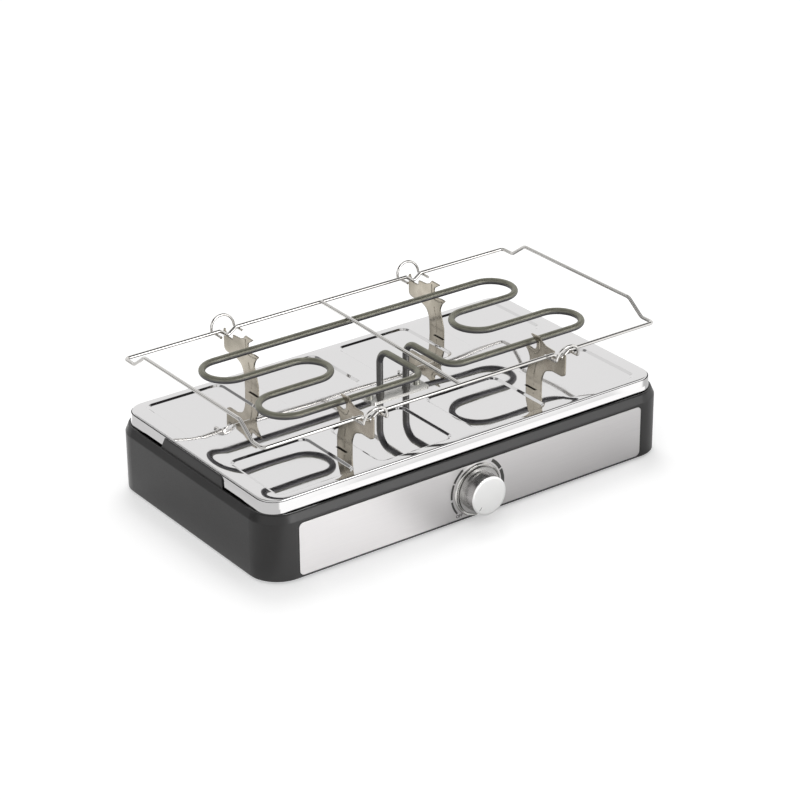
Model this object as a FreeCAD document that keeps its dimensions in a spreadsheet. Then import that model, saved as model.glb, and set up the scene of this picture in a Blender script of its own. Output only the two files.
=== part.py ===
import FreeCAD, Part
import math
import os
import Sketcher
from FreeCAD import Placement, Rotation, Vector
from types import SimpleNamespace

# Raclette grill: a flat plastic housing with a steel front panel and a rotary
# knob, a mirror-polished tray with eight pan fields, a tubular heater carried
# by four steel brackets, and a loose wire frame that lies in the brackets.
# Millimetres, X to the right along the front, Y to the back, Z up, standing
# on Z = 0 with the origin under the middle of its bounding box.

os.makedirs("parts", exist_ok=True)
doc = FreeCAD.newDocument("RacletteGrill")

sizes = {
    # Housing
    "footHeight": 3,
    "footRadius": 7,
    "footInsetX": 45,
    "footInsetY": 26,
    "bodyLength": 460,
    "bodyDepth": 261.5,
    "bodyCorner": 30,
    "bodyWall": 2.5,
    "wallTop": 59.7,
    "bodyTop": 67.3,
    "shoulderInset": 3.2,
    "rimWall": 2,
    "deckTop": 60,
    "deckThickness": 2.5,
    "deckHoleLength": 76,
    "deckHoleDepth": 36,
    # Lug in the middle of each short side
    "lugTop": 77.6,
    "lugRoot": 64,
    "lugStep": 1.5,
    "lugTopWidth": 96,
    "lugFootWidth": 104,
    "lugWall": 1,
    "lugGap": 0.4,
    # Bottom plate and its screws
    "plateThickness": 1.5,
    "plateFit": 0.3,
    "bossInsetX": 30,
    "bossInsetY": 30.75,
    "middleBossX": 100,
    "bossRadius": 4,
    "bottomScrewRadius": 1.6,
    "bottomScrewHead": 3.2,
    "bottomScrewHeadHeight": 1.3,
    "bottomScrewLength": 12,
    "ventLength": 60,
    "ventWidth": 4,
    "ventPitch": 12,
    # Front panel
    "panelInset": 33.1,
    "panelHeight": 52,
    "panelBase": 5,
    "panelCorner": 4.8,
    "panelThickness": 0.8,
    "panelProud": 0.25,
    "panelFit": 0.15,
    # Bezel ring and knob
    "knobHeight": 30,
    "ringRadius": 26,
    "ringBore": 23.4,
    "ringHeight": 2.2,
    "knobGap": 0.5,
    "collarRadius": 22.8,
    "collarHeight": 2.8,
    "gripBaseRadius": 19.8,
    "gripTopRadius": 18.9,
    "knobReach": 17,
    "knobFaceWall": 3,
    "knobShell": 1.6,
    "hubRadius": 6,
    "hubGap": 2,
    "hubBoreDepth": 3.5,
    "capRadius": 19.1,
    "capHeight": 1.2,
    "capCrown": 0.5,
    "capEdge": 1.6,
    # Thermostat behind the front wall
    "shaftRadius": 3,
    "shaftFit": 0.05,
    "shaftTipGap": 0.5,
    "shaftSeat": 8,
    "shaftHole": 3.5,
    "thermostatRadius": 12,
    "thermostatLength": 20,
    "thermostatPlate": 1.2,
    "thermostatPlateLength": 36,
    "thermostatPlateHeight": 26,
    "controlScrewX": 14,
    "controlScrewRadius": 1.5,
    "controlScrewHead": 2.8,
    "controlScrewHeadHeight": 2,
    "screwFit": 0.2,
    "tagLength": 8,
    "tagWidth": 6.3,
    "tagThickness": 0.8,
    "tagOffset": 6,
    # Tray
    "trayInsetX": 7.9,
    "trayInsetY": 9.2,
    "trayCorner": 18,
    "trayTop": 80,
    "traySheet": 0.8,
    "trayEdge": 1.5,
    "skirtBottom": 64.3,
    "skirtGapBottom": 68,
    "skirtFrontFoot": 25,
    "skirtFrontTop": 56,
    "skirtSideFoot": 6,
    "skirtSideTop": 42,
    "fieldMarginX": 3.5,
    "fieldMarginY": 7.65,
    "fieldSpacing": 24,
    "fieldWidth": 84.1,
    "fieldCorner": 10,
    "fieldRecess": 0.8,
    "studInsetX": 9.1,
    "studInsetY": 31.55,
    "studRadius": 2,
    "studFit": 0.2,
    "studReach": 8,
    "nutRadius": 3.6,
    "nutHeight": 3.2,
    # Heat shield on the deck
    "shieldInset": 21.8,
    "shieldThickness": 0.8,
    "shieldCorner": 12,
    "rivetInset": 10,
    "rivetHead": 3,
    "rivetHeadHeight": 1.2,
    # Heater
    "tubeRadius": 3.25,
    "heaterDrop": 5,
    "leadSpacing": 30.4,
    "leadBend": 14,
    "frontBend": 15,
    "outerRowSetback": 44.5,
    "innerRowRear": 24,
    "innerRowLeft": 21.5,
    "innerRowRight": 26,
    "rearTurnInset": 68.3,
    "innerTurnReach": 34.5,
    "frontTurnInsetLeft": 70.6,
    "frontTurnInsetRight": 61.9,
    "leadFoot": 66,
    "insulatorRadius": 4.2,
    "insulatorHeight": 5,
    "pinRadius": 1.2,
    "pinLength": 16,
    "collarRingRadius": 4.1,
    "collarRingHeight": 4,
    "flangeLength": 66,
    "flangeWidth": 28,
    "flangeThickness": 1.5,
    "flangeCorner": 3,
    "tubeFit": 0.15,
    "flangeScrewX": 27.5,
    "flangeScrewRadius": 2,
    "flangeScrewHead": 3.6,
    "flangeScrewHeadHeight": 2.2,
    "flangeScrewLength": 9,
    # Brackets
    "bracketThickness": 1.2,
    "slotEndGap": 1.4,
    "slotWidth": 1.6,
    "strapSetback": 6,
    "strapReach": 16.7,
    "bracketFoot": 9,
    "strapLean": 90,
    "neckSetback": 1,
    "neckDrop": 18.7,
    "toothReach": 8,
    "toothTaper": 2,
    "toothDrop": 5.8,
    "hookSeat": 0.3,
    "hookThroat": 9,
    "throatRise": 3,
    "hornReach": 0.5,
    "hornRise": 8.8,
    "hornBack": 13.5,
    "shoulderReach": 22,
    "saddleReach": 9,
    "saddleDrop": 2,
    "prongWidth": 4.8,
    "prongTip": 2,
    "armDrop": 19.1,
    "armFillet": 11,
    "prongFillet": 5,
    # Loose wire frame
    "wireRadius": 1.8,
    "frameHeight": 132.3,
    "frameInsetX": 0.2,
    "frameInsetY": 6.05,
    "frameCorner": 4,
    "endRise": 14,
    "endRun": 12.5,
    "endSlope": 19,
    "endBend": 9,
    "dipWidth": 18,
    "dipDepth": 6.3,
    "dipBend": 3.5,
    "frameClearance": 0.3,
    "crossFrontX": -8,
    "crossBackX": -2,
    "crossLift": 0.4,
    "hoopWireRadius": 1.4,
    "hoopRadius": 12.6,
    "hoopOverhang": 9,
    "hoopRise": 11.7,
    "hoopLean": 2.5,
    "tailSetback": 8,
    "tailBend": 1.6,
    # Electrical parts inside
    "blockInset": 112,
    "blockY": 40,
    "blockLength": 30,
    "blockWidth": 20,
    "blockHeight": 14,
    "blockScrewRadius": 2.5,
    "blockScrewHeight": 1.5,
    "fuseX": -60,
    "fuseY": 60,
    "fuseRadius": 2.5,
    "fuseLength": 16,
    "clipWall": 0.8,
    "clipLength": 10,
    "connectorRadius": 3,
    "connectorGrip": 10,
    "connectorWall": 2,
    "wireLeadRadius": 1.4,
    "wireLevel": 32,
    "wireRun": 17,
    "wireBend": 7,
    "earthInset": 65,
    "earthY": 60,
    "earthBossHeight": 12,
    "inletInset": 80,
    "inletHeight": 25,
    "inletRadius": 8,
    "inletFlange": 11,
    "inletProud": 3,
    "inletBore": 4,
    "inletLength": 14,
    "inletNutHeight": 4,
    "inletNutRadius": 12,
    "inletFit": 0.2,
}

sheet = doc.addObject("Spreadsheet::Sheet", "Sizes")
for row, (alias, value) in enumerate(sizes.items(), start=1):
    sheet.set("A%d" % row, alias)
    sheet.set("B%d" % row, str(value))
    sheet.setAlias("B%d" % row, alias)
doc.recompute()


# A size with its value in the sheet and the expression that binds it.
class Size:
    def __init__(self, value, formula):
        self.value = value
        self.formula = formula

    def __add__(self, other):
        return Size(self.value + valueOf(other), "(%s + %s)" % (self.formula, formulaOf(other)))

    def __radd__(self, other):
        return self + other

    def __sub__(self, other):
        return Size(self.value - valueOf(other), "(%s - %s)" % (self.formula, formulaOf(other)))

    def __rsub__(self, other):
        return -self + other

    def __mul__(self, other):
        return Size(self.value * valueOf(other), "(%s * %s)" % (self.formula, formulaOf(other)))

    def __rmul__(self, other):
        return self * other

    def __truediv__(self, other):
        return Size(self.value / valueOf(other), "(%s / %s)" % (self.formula, formulaOf(other)))

    def __neg__(self):
        return Size(-self.value, "(0 - %s)" % self.formula)


def valueOf(item):
    return item.value if isinstance(item, Size) else item


def formulaOf(item):
    return item.formula if isinstance(item, Size) else repr(item)


def root(item):
    return Size(math.sqrt(item.value), "sqrt(%s)" % item.formula)


def point(x, y, z):
    return Vector(valueOf(x), valueOf(y), valueOf(z))


dim = SimpleNamespace(**{alias: Size(getattr(sheet, alias), "Sizes." + alias) for alias in sizes})

# Derived levels and faces
halfLength = dim.bodyLength / 2
halfDepth = dim.bodyDepth / 2
deckUnder = dim.deckTop - dim.deckThickness
panelFace = -(halfDepth + dim.panelProud)
panelBack = panelFace + dim.panelThickness
wallInside = -(halfDepth - dim.bodyWall)
knobBack = panelFace - dim.knobGap
knobFront = panelFace - dim.knobReach
capFront = knobFront - dim.capHeight
trayUnder = dim.trayTop - dim.traySheet
flangeTop = dim.trayTop + dim.flangeThickness
plateTop = dim.footHeight + dim.plateThickness
inletReach = halfDepth + dim.inletProud
bossX = halfLength - dim.bossInsetX
bossY = halfDepth - dim.bossInsetY
earthX = halfLength - dim.earthInset
blockX = halfLength - dim.blockInset
inletX = halfLength - dim.inletInset
panelLength = dim.bodyLength - 2 * dim.panelInset
trayLength = dim.bodyLength - 2 * dim.trayInsetX
trayDepth = dim.bodyDepth - 2 * dim.trayInsetY
studX = trayLength / 2 - dim.studInsetX
studY = trayDepth / 2 - dim.studInsetY
frameX = trayLength / 2 - dim.frameInsetX
frameY = trayDepth / 2 - dim.frameInsetY
outerRow = frameY - dim.outerRowSetback
heaterLevel = dim.frameHeight - dim.heaterDrop
armUnder = heaterLevel - dim.armDrop

# The pan fields lie in a grid, and the brackets stand between the outer columns.
columnCount, rowCount = 4, 2
fieldPitchX = (trayLength - 2 * dim.fieldMarginX) / columnCount
fieldPitchY = trayDepth - dim.fieldWidth - 2 * dim.fieldMarginY
fieldLength = fieldPitchX - dim.fieldSpacing
bracketX = fieldPitchX
strapInner = outerRow - dim.strapSetback
strapOuter = outerRow + dim.strapReach
shieldLength = trayLength - 2 * dim.shieldInset
shieldWidth = trayDepth - 2 * dim.shieldInset

# The box runs from the knob's cap to the cord inlet, so its middle lies here.
originShift = -(capFront + inletReach) / 2

finished = []


def bind(item, prop, value):
    item.setExpression(prop, formulaOf(value))


def put(item, x=0, y=0, z=0, rotation=None):
    if rotation is not None:
        item.Placement = Placement(Vector(0, 0, 0), rotation)
    for axis, value in zip("xyz", (x, y, z)):
        if isinstance(value, Size):
            bind(item, ".Placement.Base." + axis, value)


# A sub-part is named, set on the common origin and kept for export.
def keep(item, label, height=None):
    item.Label = label
    bind(item, ".Placement.Base.y", originShift)
    if height is not None:
        bind(item, ".Placement.Base.z", height)
    finished.append(item)
    return item


toFront = Rotation(Vector(1, 0, 0), 90)
toRight = Rotation(Vector(0, 1, 0), 90)


def cylinder(name, radius, length, x=0, y=0, z=0, rotation=None):
    item = doc.addObject("Part::Cylinder", name)
    bind(item, "Radius", radius)
    bind(item, "Height", length)
    put(item, x, y, z, rotation)
    return item


def box(name, length, width, height, x, y, z):
    item = doc.addObject("Part::Box", name)
    bind(item, "Length", length)
    bind(item, "Width", width)
    bind(item, "Height", height)
    put(item, x, y, z)
    return item


def hexagon(name, radius, height, x=0, y=0, z=0, rotation=None):
    item = doc.addObject("Part::Prism", name)
    item.Polygon = 6
    bind(item, "Circumradius", radius)
    bind(item, "Height", height)
    put(item, x, y, z, rotation)
    return item


def fuse(name, parts):
    item = doc.addObject("Part::MultiFuse", name)
    item.Shapes = parts
    return item


def cut(name, base, tools):
    item = doc.addObject("Part::Cut", name)
    item.Base = base
    item.Tool = tools[0] if len(tools) == 1 else group(name + "Tools", tools)
    return item


def group(name, parts):
    item = doc.addObject("Part::Compound", name)
    item.Links = parts
    return item


# Sketches and features of a body
def startBody(name):
    return doc.addObject("PartDesign::Body", name)


def sketchOn(body, name, role, offset=None):
    plane = next(item for item in body.Origin.OriginFeatures if item.Role == role)
    sketch = body.newObject("Sketcher::SketchObject", name)
    sketch.AttachmentSupport = (plane, [""])
    sketch.MapMode = "FlatFace"
    if offset is not None:
        bind(sketch, ".AttachmentOffset.Base.z", offset)
    return sketch


def constrain(sketch, kind, arguments, value):
    index = sketch.addConstraint(Sketcher.Constraint(kind, *arguments, float(valueOf(value))))
    if isinstance(value, Size):
        bind(sketch, "Constraints[%d]" % index, value)


def place(sketch, geometry, end, x, y):
    constrain(sketch, "DistanceX", (-1, 1, geometry, end), x)
    constrain(sketch, "DistanceY", (-1, 1, geometry, end), y)


def outline(sketch, points):
    first = sketch.GeometryCount
    corners = [point(x, y, 0) for x, y in points]
    count = len(corners)
    for index in range(count):
        sketch.addGeometry(Part.LineSegment(corners[index], corners[(index + 1) % count]))
    for index in range(count):
        following = first + (index + 1) % count
        sketch.addConstraint(Sketcher.Constraint("Coincident", first + index, 2, following, 1))
    for index, (x, y) in enumerate(points):
        place(sketch, first + index, 1, x, y)


def rectangle(sketch, length, width, x=0, y=0):
    right, left = x + length / 2, x - length / 2
    back, front = y + width / 2, y - width / 2
    outline(sketch, [(left, front), (right, front), (right, back), (left, back)])


def circle(sketch, radius, x=0, y=0):
    index = sketch.addGeometry(Part.Circle(point(x, y, 0), Vector(0, 0, 1), valueOf(radius)))
    constrain(sketch, "Radius", (index,), radius)
    place(sketch, index, 3, x, y)


# Rectangle with a tangent arc at each corner.
def roundRectangle(sketch, length, width, radius, x=0, y=0):
    first = sketch.GeometryCount
    right, left = valueOf(x + length / 2), valueOf(x - length / 2)
    back, front = valueOf(y + width / 2), valueOf(y - width / 2)
    bend = valueOf(radius)
    corners = [(right - bend, front + bend), (right - bend, back - bend)]
    corners += [(left + bend, back - bend), (left + bend, front + bend)]
    ends = []
    for turn, (centreX, centreY) in enumerate(corners):
        start = math.radians(90 * turn - 90)
        stop = start + math.pi / 2
        middle = Part.Circle(Vector(centreX, centreY, 0), Vector(0, 0, 1), bend)
        sketch.addGeometry(Part.ArcOfCircle(middle, start, stop))
        ends.append([Vector(centreX + bend * math.cos(angle), centreY + bend * math.sin(angle), 0)
                     for angle in (start, stop)])
    for turn in range(4):
        sketch.addGeometry(Part.LineSegment(ends[turn][1], ends[(turn + 1) % 4][0]))
    for turn in range(4):
        arc, line, following = first + turn, first + 4 + turn, first + (turn + 1) % 4
        sketch.addConstraint(Sketcher.Constraint("Tangent", arc, 2, line, 1))
        sketch.addConstraint(Sketcher.Constraint("Tangent", line, 2, following, 1))
        sketch.addConstraint(Sketcher.Constraint("Vertical" if turn % 2 == 0 else "Horizontal", line))
    for turn in range(1, 4):
        sketch.addConstraint(Sketcher.Constraint("Equal", first, first + turn))
    constrain(sketch, "Radius", (first,), radius)
    constrain(sketch, "DistanceX", (-1, 1, first + 4, 1), x + length / 2)
    constrain(sketch, "DistanceX", (-1, 1, first + 6, 1), x - length / 2)
    constrain(sketch, "DistanceY", (-1, 1, first + 5, 1), y + width / 2)
    constrain(sketch, "DistanceY", (-1, 1, first + 7, 1), y - width / 2)


def pad(body, sketch, length, back=False, both=False):
    feature = body.newObject("PartDesign::Pad", sketch.Name + "Pad")
    feature.Profile = sketch
    bind(feature, "Length", length)
    feature.Reversed = back
    feature.Midplane = both
    return feature


def pocket(body, sketch, length, back=False, both=False):
    feature = body.newObject("PartDesign::Pocket", sketch.Name + "Pocket")
    feature.Profile = sketch
    bind(feature, "Length", length)
    feature.Reversed = back
    feature.Midplane = both
    return feature


def loft(body, kind, lower, upper):
    feature = body.newObject("PartDesign::%sLoft" % kind, lower.Name + "Loft")
    feature.Profile = lower
    feature.Sections = [upper]
    feature.Ruled = True
    return feature


def revolve(body, sketch):
    feature = body.newObject("PartDesign::Revolution", sketch.Name + "Turned")
    feature.Profile = sketch
    feature.ReferenceAxis = (sketch, ["H_Axis"])
    feature.Angle = 360
    return feature


# Rounds the edges of the last feature for which the test holds.
def roundEdges(body, name, radius, test):
    doc.recompute()
    base = body.Tip
    names = ["Edge%d" % (index + 1) for index, edge in enumerate(base.Shape.Edges) if test(edge)]
    feature = body.newObject("PartDesign::Fillet", name)
    feature.Base = (base, names)
    bind(feature, "Radius", radius)
    return feature


def near(a, b):
    return abs(valueOf(a) - valueOf(b)) < 0.01


def isLevel(edge, height):
    return near(edge.BoundBox.ZMin, height) and near(edge.BoundBox.ZMax, height)


# A round wire or tube through the given points, with an arc at each inner one.
def route(points, bends):
    spots = [point(*spot) for spot in points]
    edges = []
    start = spots[0]
    for before, corner, after, bend in zip(spots, spots[1:], spots[2:], bends):
        arriving = (corner - before).normalize()
        leaving = (after - corner).normalize()
        turn = arriving.getAngle(leaving)
        reach = valueOf(bend) * math.tan(turn / 2)
        arcStart = corner - arriving * reach
        arcEnd = corner + leaving * reach
        inward = (leaving - arriving).normalize()
        sag = valueOf(bend) * (1 / math.cos(turn / 2) - 1)
        if start.distanceToPoint(arcStart) > 0.001:
            edges.append(Part.LineSegment(start, arcStart).toShape())
        edges.append(Part.Arc(arcStart, corner + inward * sag, arcEnd).toShape())
        start = arcEnd
    if start.distanceToPoint(spots[-1]) > 0.001:
        edges.append(Part.LineSegment(start, spots[-1]).toShape())
    return Part.Wire(edges)


def rod(name, radius, points, bends):
    path = route(points, bends)
    first = path.OrderedEdges[0]
    direction = first.tangentAt(first.FirstParameter)
    section = Part.Wire([Part.makeCircle(valueOf(radius), point(*points[0]), direction)])
    item = doc.addObject("Part::Feature", name)
    item.Shape = path.makePipeShell([section], True, False)
    return item


# Housing
rimOuter = halfLength - dim.shoulderInset
bayInset = dim.shoulderInset + dim.rimWall
housing = startBody("Housing")
footprint = sketchOn(housing, "Footprint", "XY_Plane", dim.footHeight)
roundRectangle(footprint, dim.bodyLength, dim.bodyDepth, dim.bodyCorner)
pad(housing, footprint, dim.wallTop - dim.footHeight)
shoulderFoot = sketchOn(housing, "ShoulderFoot", "XY_Plane", dim.wallTop)
roundRectangle(shoulderFoot, dim.bodyLength, dim.bodyDepth, dim.bodyCorner)
shoulderRim = sketchOn(housing, "ShoulderRim", "XY_Plane", dim.bodyTop)
roundRectangle(shoulderRim, dim.bodyLength - 2 * dim.shoulderInset, dim.bodyDepth - 2 * dim.shoulderInset,
               dim.bodyCorner - dim.shoulderInset)
loft(housing, "Additive", shoulderFoot, shoulderRim)
hollow = sketchOn(housing, "Hollow", "XY_Plane", dim.footHeight)
roundRectangle(hollow, dim.bodyLength - 2 * dim.bodyWall, dim.bodyDepth - 2 * dim.bodyWall,
               dim.bodyCorner - dim.bodyWall)
pocket(housing, hollow, deckUnder - dim.footHeight, back=True)
bayFloor = sketchOn(housing, "BayFloor", "XY_Plane", dim.deckTop)
roundRectangle(bayFloor, dim.bodyLength - 2 * dim.bodyWall, dim.bodyDepth - 2 * dim.bodyWall,
               dim.bodyCorner - dim.bodyWall)
bayRim = sketchOn(housing, "BayRim", "XY_Plane", dim.bodyTop)
roundRectangle(bayRim, dim.bodyLength - 2 * bayInset, dim.bodyDepth - 2 * bayInset,
               dim.bodyCorner - bayInset)
loft(housing, "Subtractive", bayFloor, bayRim)

# The lug leans from the shoulder up to just under the tray's rim.
lugInner = trayLength / 2 + dim.lugGap
lugOuter = lugInner + dim.lugWall
lugFall = (dim.lugTop - dim.lugRoot) / (dim.lugTop - dim.bodyTop)
lugRootOuter = lugOuter + (rimOuter - dim.lugStep - lugOuter) * lugFall
lugRootInner = halfLength - dim.bodyWall - dim.rimWall
lugRootWidth = dim.lugTopWidth + (dim.lugFootWidth - dim.lugTopWidth) * lugFall
for side, name in ((1, "Right"), (-1, "Left")):
    lugFoot = sketchOn(housing, "LugFoot" + name, "XY_Plane", dim.lugRoot)
    rectangle(lugFoot, lugRootOuter - lugRootInner, lugRootWidth, side * (lugRootOuter + lugRootInner) / 2)
    lugTip = sketchOn(housing, "LugTip" + name, "XY_Plane", dim.lugTop)
    rectangle(lugTip, dim.lugWall, dim.lugTopWidth, side * (lugOuter + lugInner) / 2)
    loft(housing, "Additive", lugFoot, lugTip)

deckHole = sketchOn(housing, "DeckHole", "XY_Plane", dim.deckTop)
roundRectangle(deckHole, dim.deckHoleLength, dim.deckHoleDepth, dim.flangeCorner)
pocket(housing, deckHole, dim.deckThickness)
panelSeat = sketchOn(housing, "PanelSeat", "XZ_Plane", halfDepth)
roundRectangle(panelSeat, panelLength + 2 * dim.panelFit, dim.panelHeight + 2 * dim.panelFit,
               dim.panelCorner + dim.panelFit, 0, dim.panelBase + dim.panelHeight / 2)
pocket(housing, panelSeat, dim.panelThickness - dim.panelProud)
controlHoles = sketchOn(housing, "ControlHoles", "XZ_Plane", halfDepth)
circle(controlHoles, dim.shaftHole, 0, dim.knobHeight)
for side in (1, -1):
    circle(controlHoles, dim.controlScrewRadius + dim.screwFit, side * dim.controlScrewX, dim.knobHeight)
pocket(housing, controlHoles, dim.bodyWall)
inletHole = sketchOn(housing, "InletHole", "XZ_Plane", -halfDepth)
circle(inletHole, dim.inletRadius + dim.inletFit, inletX, dim.inletHeight)
pocket(housing, inletHole, dim.bodyWall, back=True)

bottomBosses = [(sideX * bossX, sideY * bossY) for sideX in (1, -1) for sideY in (1, -1)]
bottomBosses += [(side * dim.middleBossX, 0) for side in (1, -1)]
studs = [(sideX * studX, sideY * studY) for sideX in (1, -1) for sideY in (1, -1)]
bosses = sketchOn(housing, "BottomBosses", "XY_Plane", plateTop)
for x, y in bottomBosses:
    circle(bosses, dim.bossRadius, x, y)
pad(housing, bosses, deckUnder - plateTop)
pilots = sketchOn(housing, "BottomPilots", "XY_Plane", plateTop)
for x, y in bottomBosses:
    circle(pilots, dim.bottomScrewRadius, x, y)
pocket(housing, pilots, dim.bottomScrewLength, back=True)
trayBosses = sketchOn(housing, "TrayBosses", "XY_Plane", dim.deckTop)
for x, y in studs:
    circle(trayBosses, dim.bossRadius, x, y)
pad(housing, trayBosses, trayUnder - dim.deckTop)
studHoles = sketchOn(housing, "StudHoles", "XY_Plane", trayUnder)
for x, y in studs:
    circle(studHoles, dim.studRadius + dim.studFit, x, y)
pocket(housing, studHoles, trayUnder - deckUnder)
earthBoss = sketchOn(housing, "DeckBosses", "XY_Plane", deckUnder)
circle(earthBoss, dim.bossRadius, earthX, dim.earthY)
pad(housing, earthBoss, dim.earthBossHeight, back=True)
earthPilot = sketchOn(housing, "EarthPilot", "XY_Plane", deckUnder - dim.earthBossHeight)
circle(earthPilot, dim.bottomScrewRadius, earthX, dim.earthY)
pocket(housing, earthPilot, dim.earthBossHeight, back=True)
keep(housing, "housing")

# Bottom plate with vents, and its feet and screws
bottomPlate = startBody("BottomPlate")
plateShape = sketchOn(bottomPlate, "PlateShape", "XY_Plane", dim.footHeight)
plateInset = dim.bodyWall + dim.plateFit
roundRectangle(plateShape, dim.bodyLength - 2 * plateInset, dim.bodyDepth - 2 * plateInset,
               dim.bodyCorner - plateInset)
for x, y in bottomBosses:
    circle(plateShape, dim.bottomScrewRadius + dim.screwFit, x, y)
pad(bottomPlate, plateShape, dim.plateThickness)
vents = sketchOn(bottomPlate, "Vents", "XY_Plane", plateTop)
for sideX in (1, -1):
    for step in range(-2, 3):
        rectangle(vents, dim.ventLength, dim.ventWidth, sideX * dim.ventLength, step * dim.ventPitch)
pocket(bottomPlate, vents, dim.plateThickness)
keep(bottomPlate, "bottom_plate")

footX = halfLength - dim.footInsetX
footY = halfDepth - dim.footInsetY
for sideX, alongX in ((-1, "left"), (1, "right")):
    for sideY, alongY in ((-1, "front"), (1, "rear")):
        foot = startBody("Foot_%s_%s" % (alongY, alongX))
        disc = sketchOn(foot, foot.Name + "Disc", "XY_Plane")
        circle(disc, dim.footRadius, sideX * footX, sideY * footY)
        pad(foot, disc, dim.footHeight)
        keep(foot, "foot_%s_%s" % (alongY, alongX))


def screw(name, head, headHeight, radius, length, x, y, z, rotation=None):
    shank = cylinder(name + "Shank", radius, length, 0, 0, 0)
    cap = cylinder(name + "Head", head, headHeight, 0, 0, length)
    item = fuse(name, [shank, cap])
    put(item, x, y, z, rotation)
    return item


upsideDown = Rotation(Vector(1, 0, 0), 180)
bottomScrews = [screw("BottomScrew%d" % index, dim.bottomScrewHead, dim.bottomScrewHeadHeight,
                      dim.bottomScrewRadius, dim.bottomScrewLength, x, y,
                      dim.footHeight + dim.bottomScrewLength, upsideDown)
                for index, (x, y) in enumerate(bottomBosses)]
keep(group("BottomScrews", bottomScrews), "bottom_screws")

# Front panel, bezel ring and knob
frontPanel = startBody("FrontPanel")
panelShape = sketchOn(frontPanel, "PanelShape", "XZ_Plane", -panelBack)
roundRectangle(panelShape, panelLength, dim.panelHeight, dim.panelCorner,
               0, dim.panelBase + dim.panelHeight / 2)
circle(panelShape, dim.shaftHole, 0, dim.knobHeight)
for side in (1, -1):
    circle(panelShape, dim.controlScrewRadius + dim.screwFit, side * dim.controlScrewX, dim.knobHeight)
pad(frontPanel, panelShape, dim.panelThickness)
keep(frontPanel, "front_panel")

ring = startBody("BezelRing")
ringShape = sketchOn(ring, "RingShape", "XZ_Plane", -panelFace)
circle(ringShape, dim.ringRadius)
circle(ringShape, dim.ringBore)
pad(ring, ringShape, dim.ringHeight)
keep(ring, "bezel_ring", dim.knobHeight)

# Half section of the hollow knob, turned about its axis.
gripFoot = knobBack - dim.collarHeight
knobInside = knobFront + dim.knobFaceWall
knobBore = dim.shaftRadius + dim.shaftFit
knob = startBody("KnobBody")
knobSection = sketchOn(knob, "KnobSection", "YZ_Plane")
outline(knobSection, [
    (knobBack, dim.collarRadius),
    (gripFoot, dim.collarRadius),
    (gripFoot, dim.gripBaseRadius),
    (knobFront, dim.gripTopRadius),
    (knobFront, 0),
    (knobFront + dim.hubBoreDepth, 0),
    (knobFront + dim.hubBoreDepth, knobBore),
    (panelFace - dim.hubGap, knobBore),
    (panelFace - dim.hubGap, dim.hubRadius),
    (knobInside, dim.hubRadius),
    (knobInside, dim.gripTopRadius - dim.knobShell),
    (gripFoot, dim.gripBaseRadius - dim.knobShell),
    (knobBack, dim.gripBaseRadius - dim.knobShell),
])
revolve(knob, knobSection)
keep(knob, "knob_body", dim.knobHeight)

cap = startBody("KnobCap")
capSection = sketchOn(cap, "CapSection", "YZ_Plane")
outline(capSection, [
    (knobFront, 0),
    (knobFront, dim.capRadius),
    (capFront + dim.capCrown, dim.capRadius),
    (capFront, dim.capRadius - dim.capEdge),
    (capFront, 0),
])
revolve(cap, capSection)
keep(cap, "knob_cap", dim.knobHeight)

# Thermostat: a plate on the wall's inside, a can behind it and the turning shaft.
plateBack = wallInside + dim.thermostatPlate
thermostatEnd = plateBack + dim.thermostatLength
shaftEnd = plateBack + dim.shaftSeat
shaftTip = knobFront + dim.hubBoreDepth + dim.shaftTipGap
shaft = cylinder("ShaftRod", dim.shaftRadius, shaftEnd - shaftTip, 0, shaftEnd, 0, toFront)
keep(group("ThermostatShaft", [shaft]), "thermostat_shaft", dim.knobHeight)
can = cylinder("ThermostatCan", dim.thermostatRadius, dim.thermostatLength, 0, thermostatEnd, 0, toFront)
canBore = cylinder("ThermostatBore", knobBore, dim.shaftSeat + dim.shaftTipGap,
                   0, shaftEnd + dim.shaftTipGap, 0, toFront)
tags = [box("ThermostatTag%d" % index, dim.tagWidth, dim.tagLength, dim.tagThickness,
            side * dim.tagOffset - dim.tagWidth / 2, thermostatEnd, -dim.tagThickness / 2)
        for index, side in enumerate((1, -1))]
thermostat = fuse("Thermostat", [cut("BoredCan", can, [canBore])] + tags)
keep(thermostat, "thermostat", dim.knobHeight)
controlPlate = startBody("ThermostatPlate")
controlShape = sketchOn(controlPlate, "ControlPlateShape", "XZ_Plane", -plateBack)
roundRectangle(controlShape, dim.thermostatPlateLength, dim.thermostatPlateHeight, dim.flangeCorner,
               0, dim.knobHeight)
circle(controlShape, dim.shaftHole, 0, dim.knobHeight)
for side in (1, -1):
    circle(controlShape, dim.controlScrewRadius, side * dim.controlScrewX, dim.knobHeight)
pad(controlPlate, controlShape, dim.thermostatPlate)
keep(controlPlate, "thermostat_plate")
controlScrews = [screw("ControlScrew%d" % index, dim.controlScrewHead, dim.controlScrewHeadHeight,
                       dim.controlScrewRadius, plateBack - panelFace, side * dim.controlScrewX,
                       plateBack, dim.knobHeight, toFront)
                 for index, side in enumerate((1, -1))]
keep(group("ThermostatScrews", controlScrews), "thermostat_screws")

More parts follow.
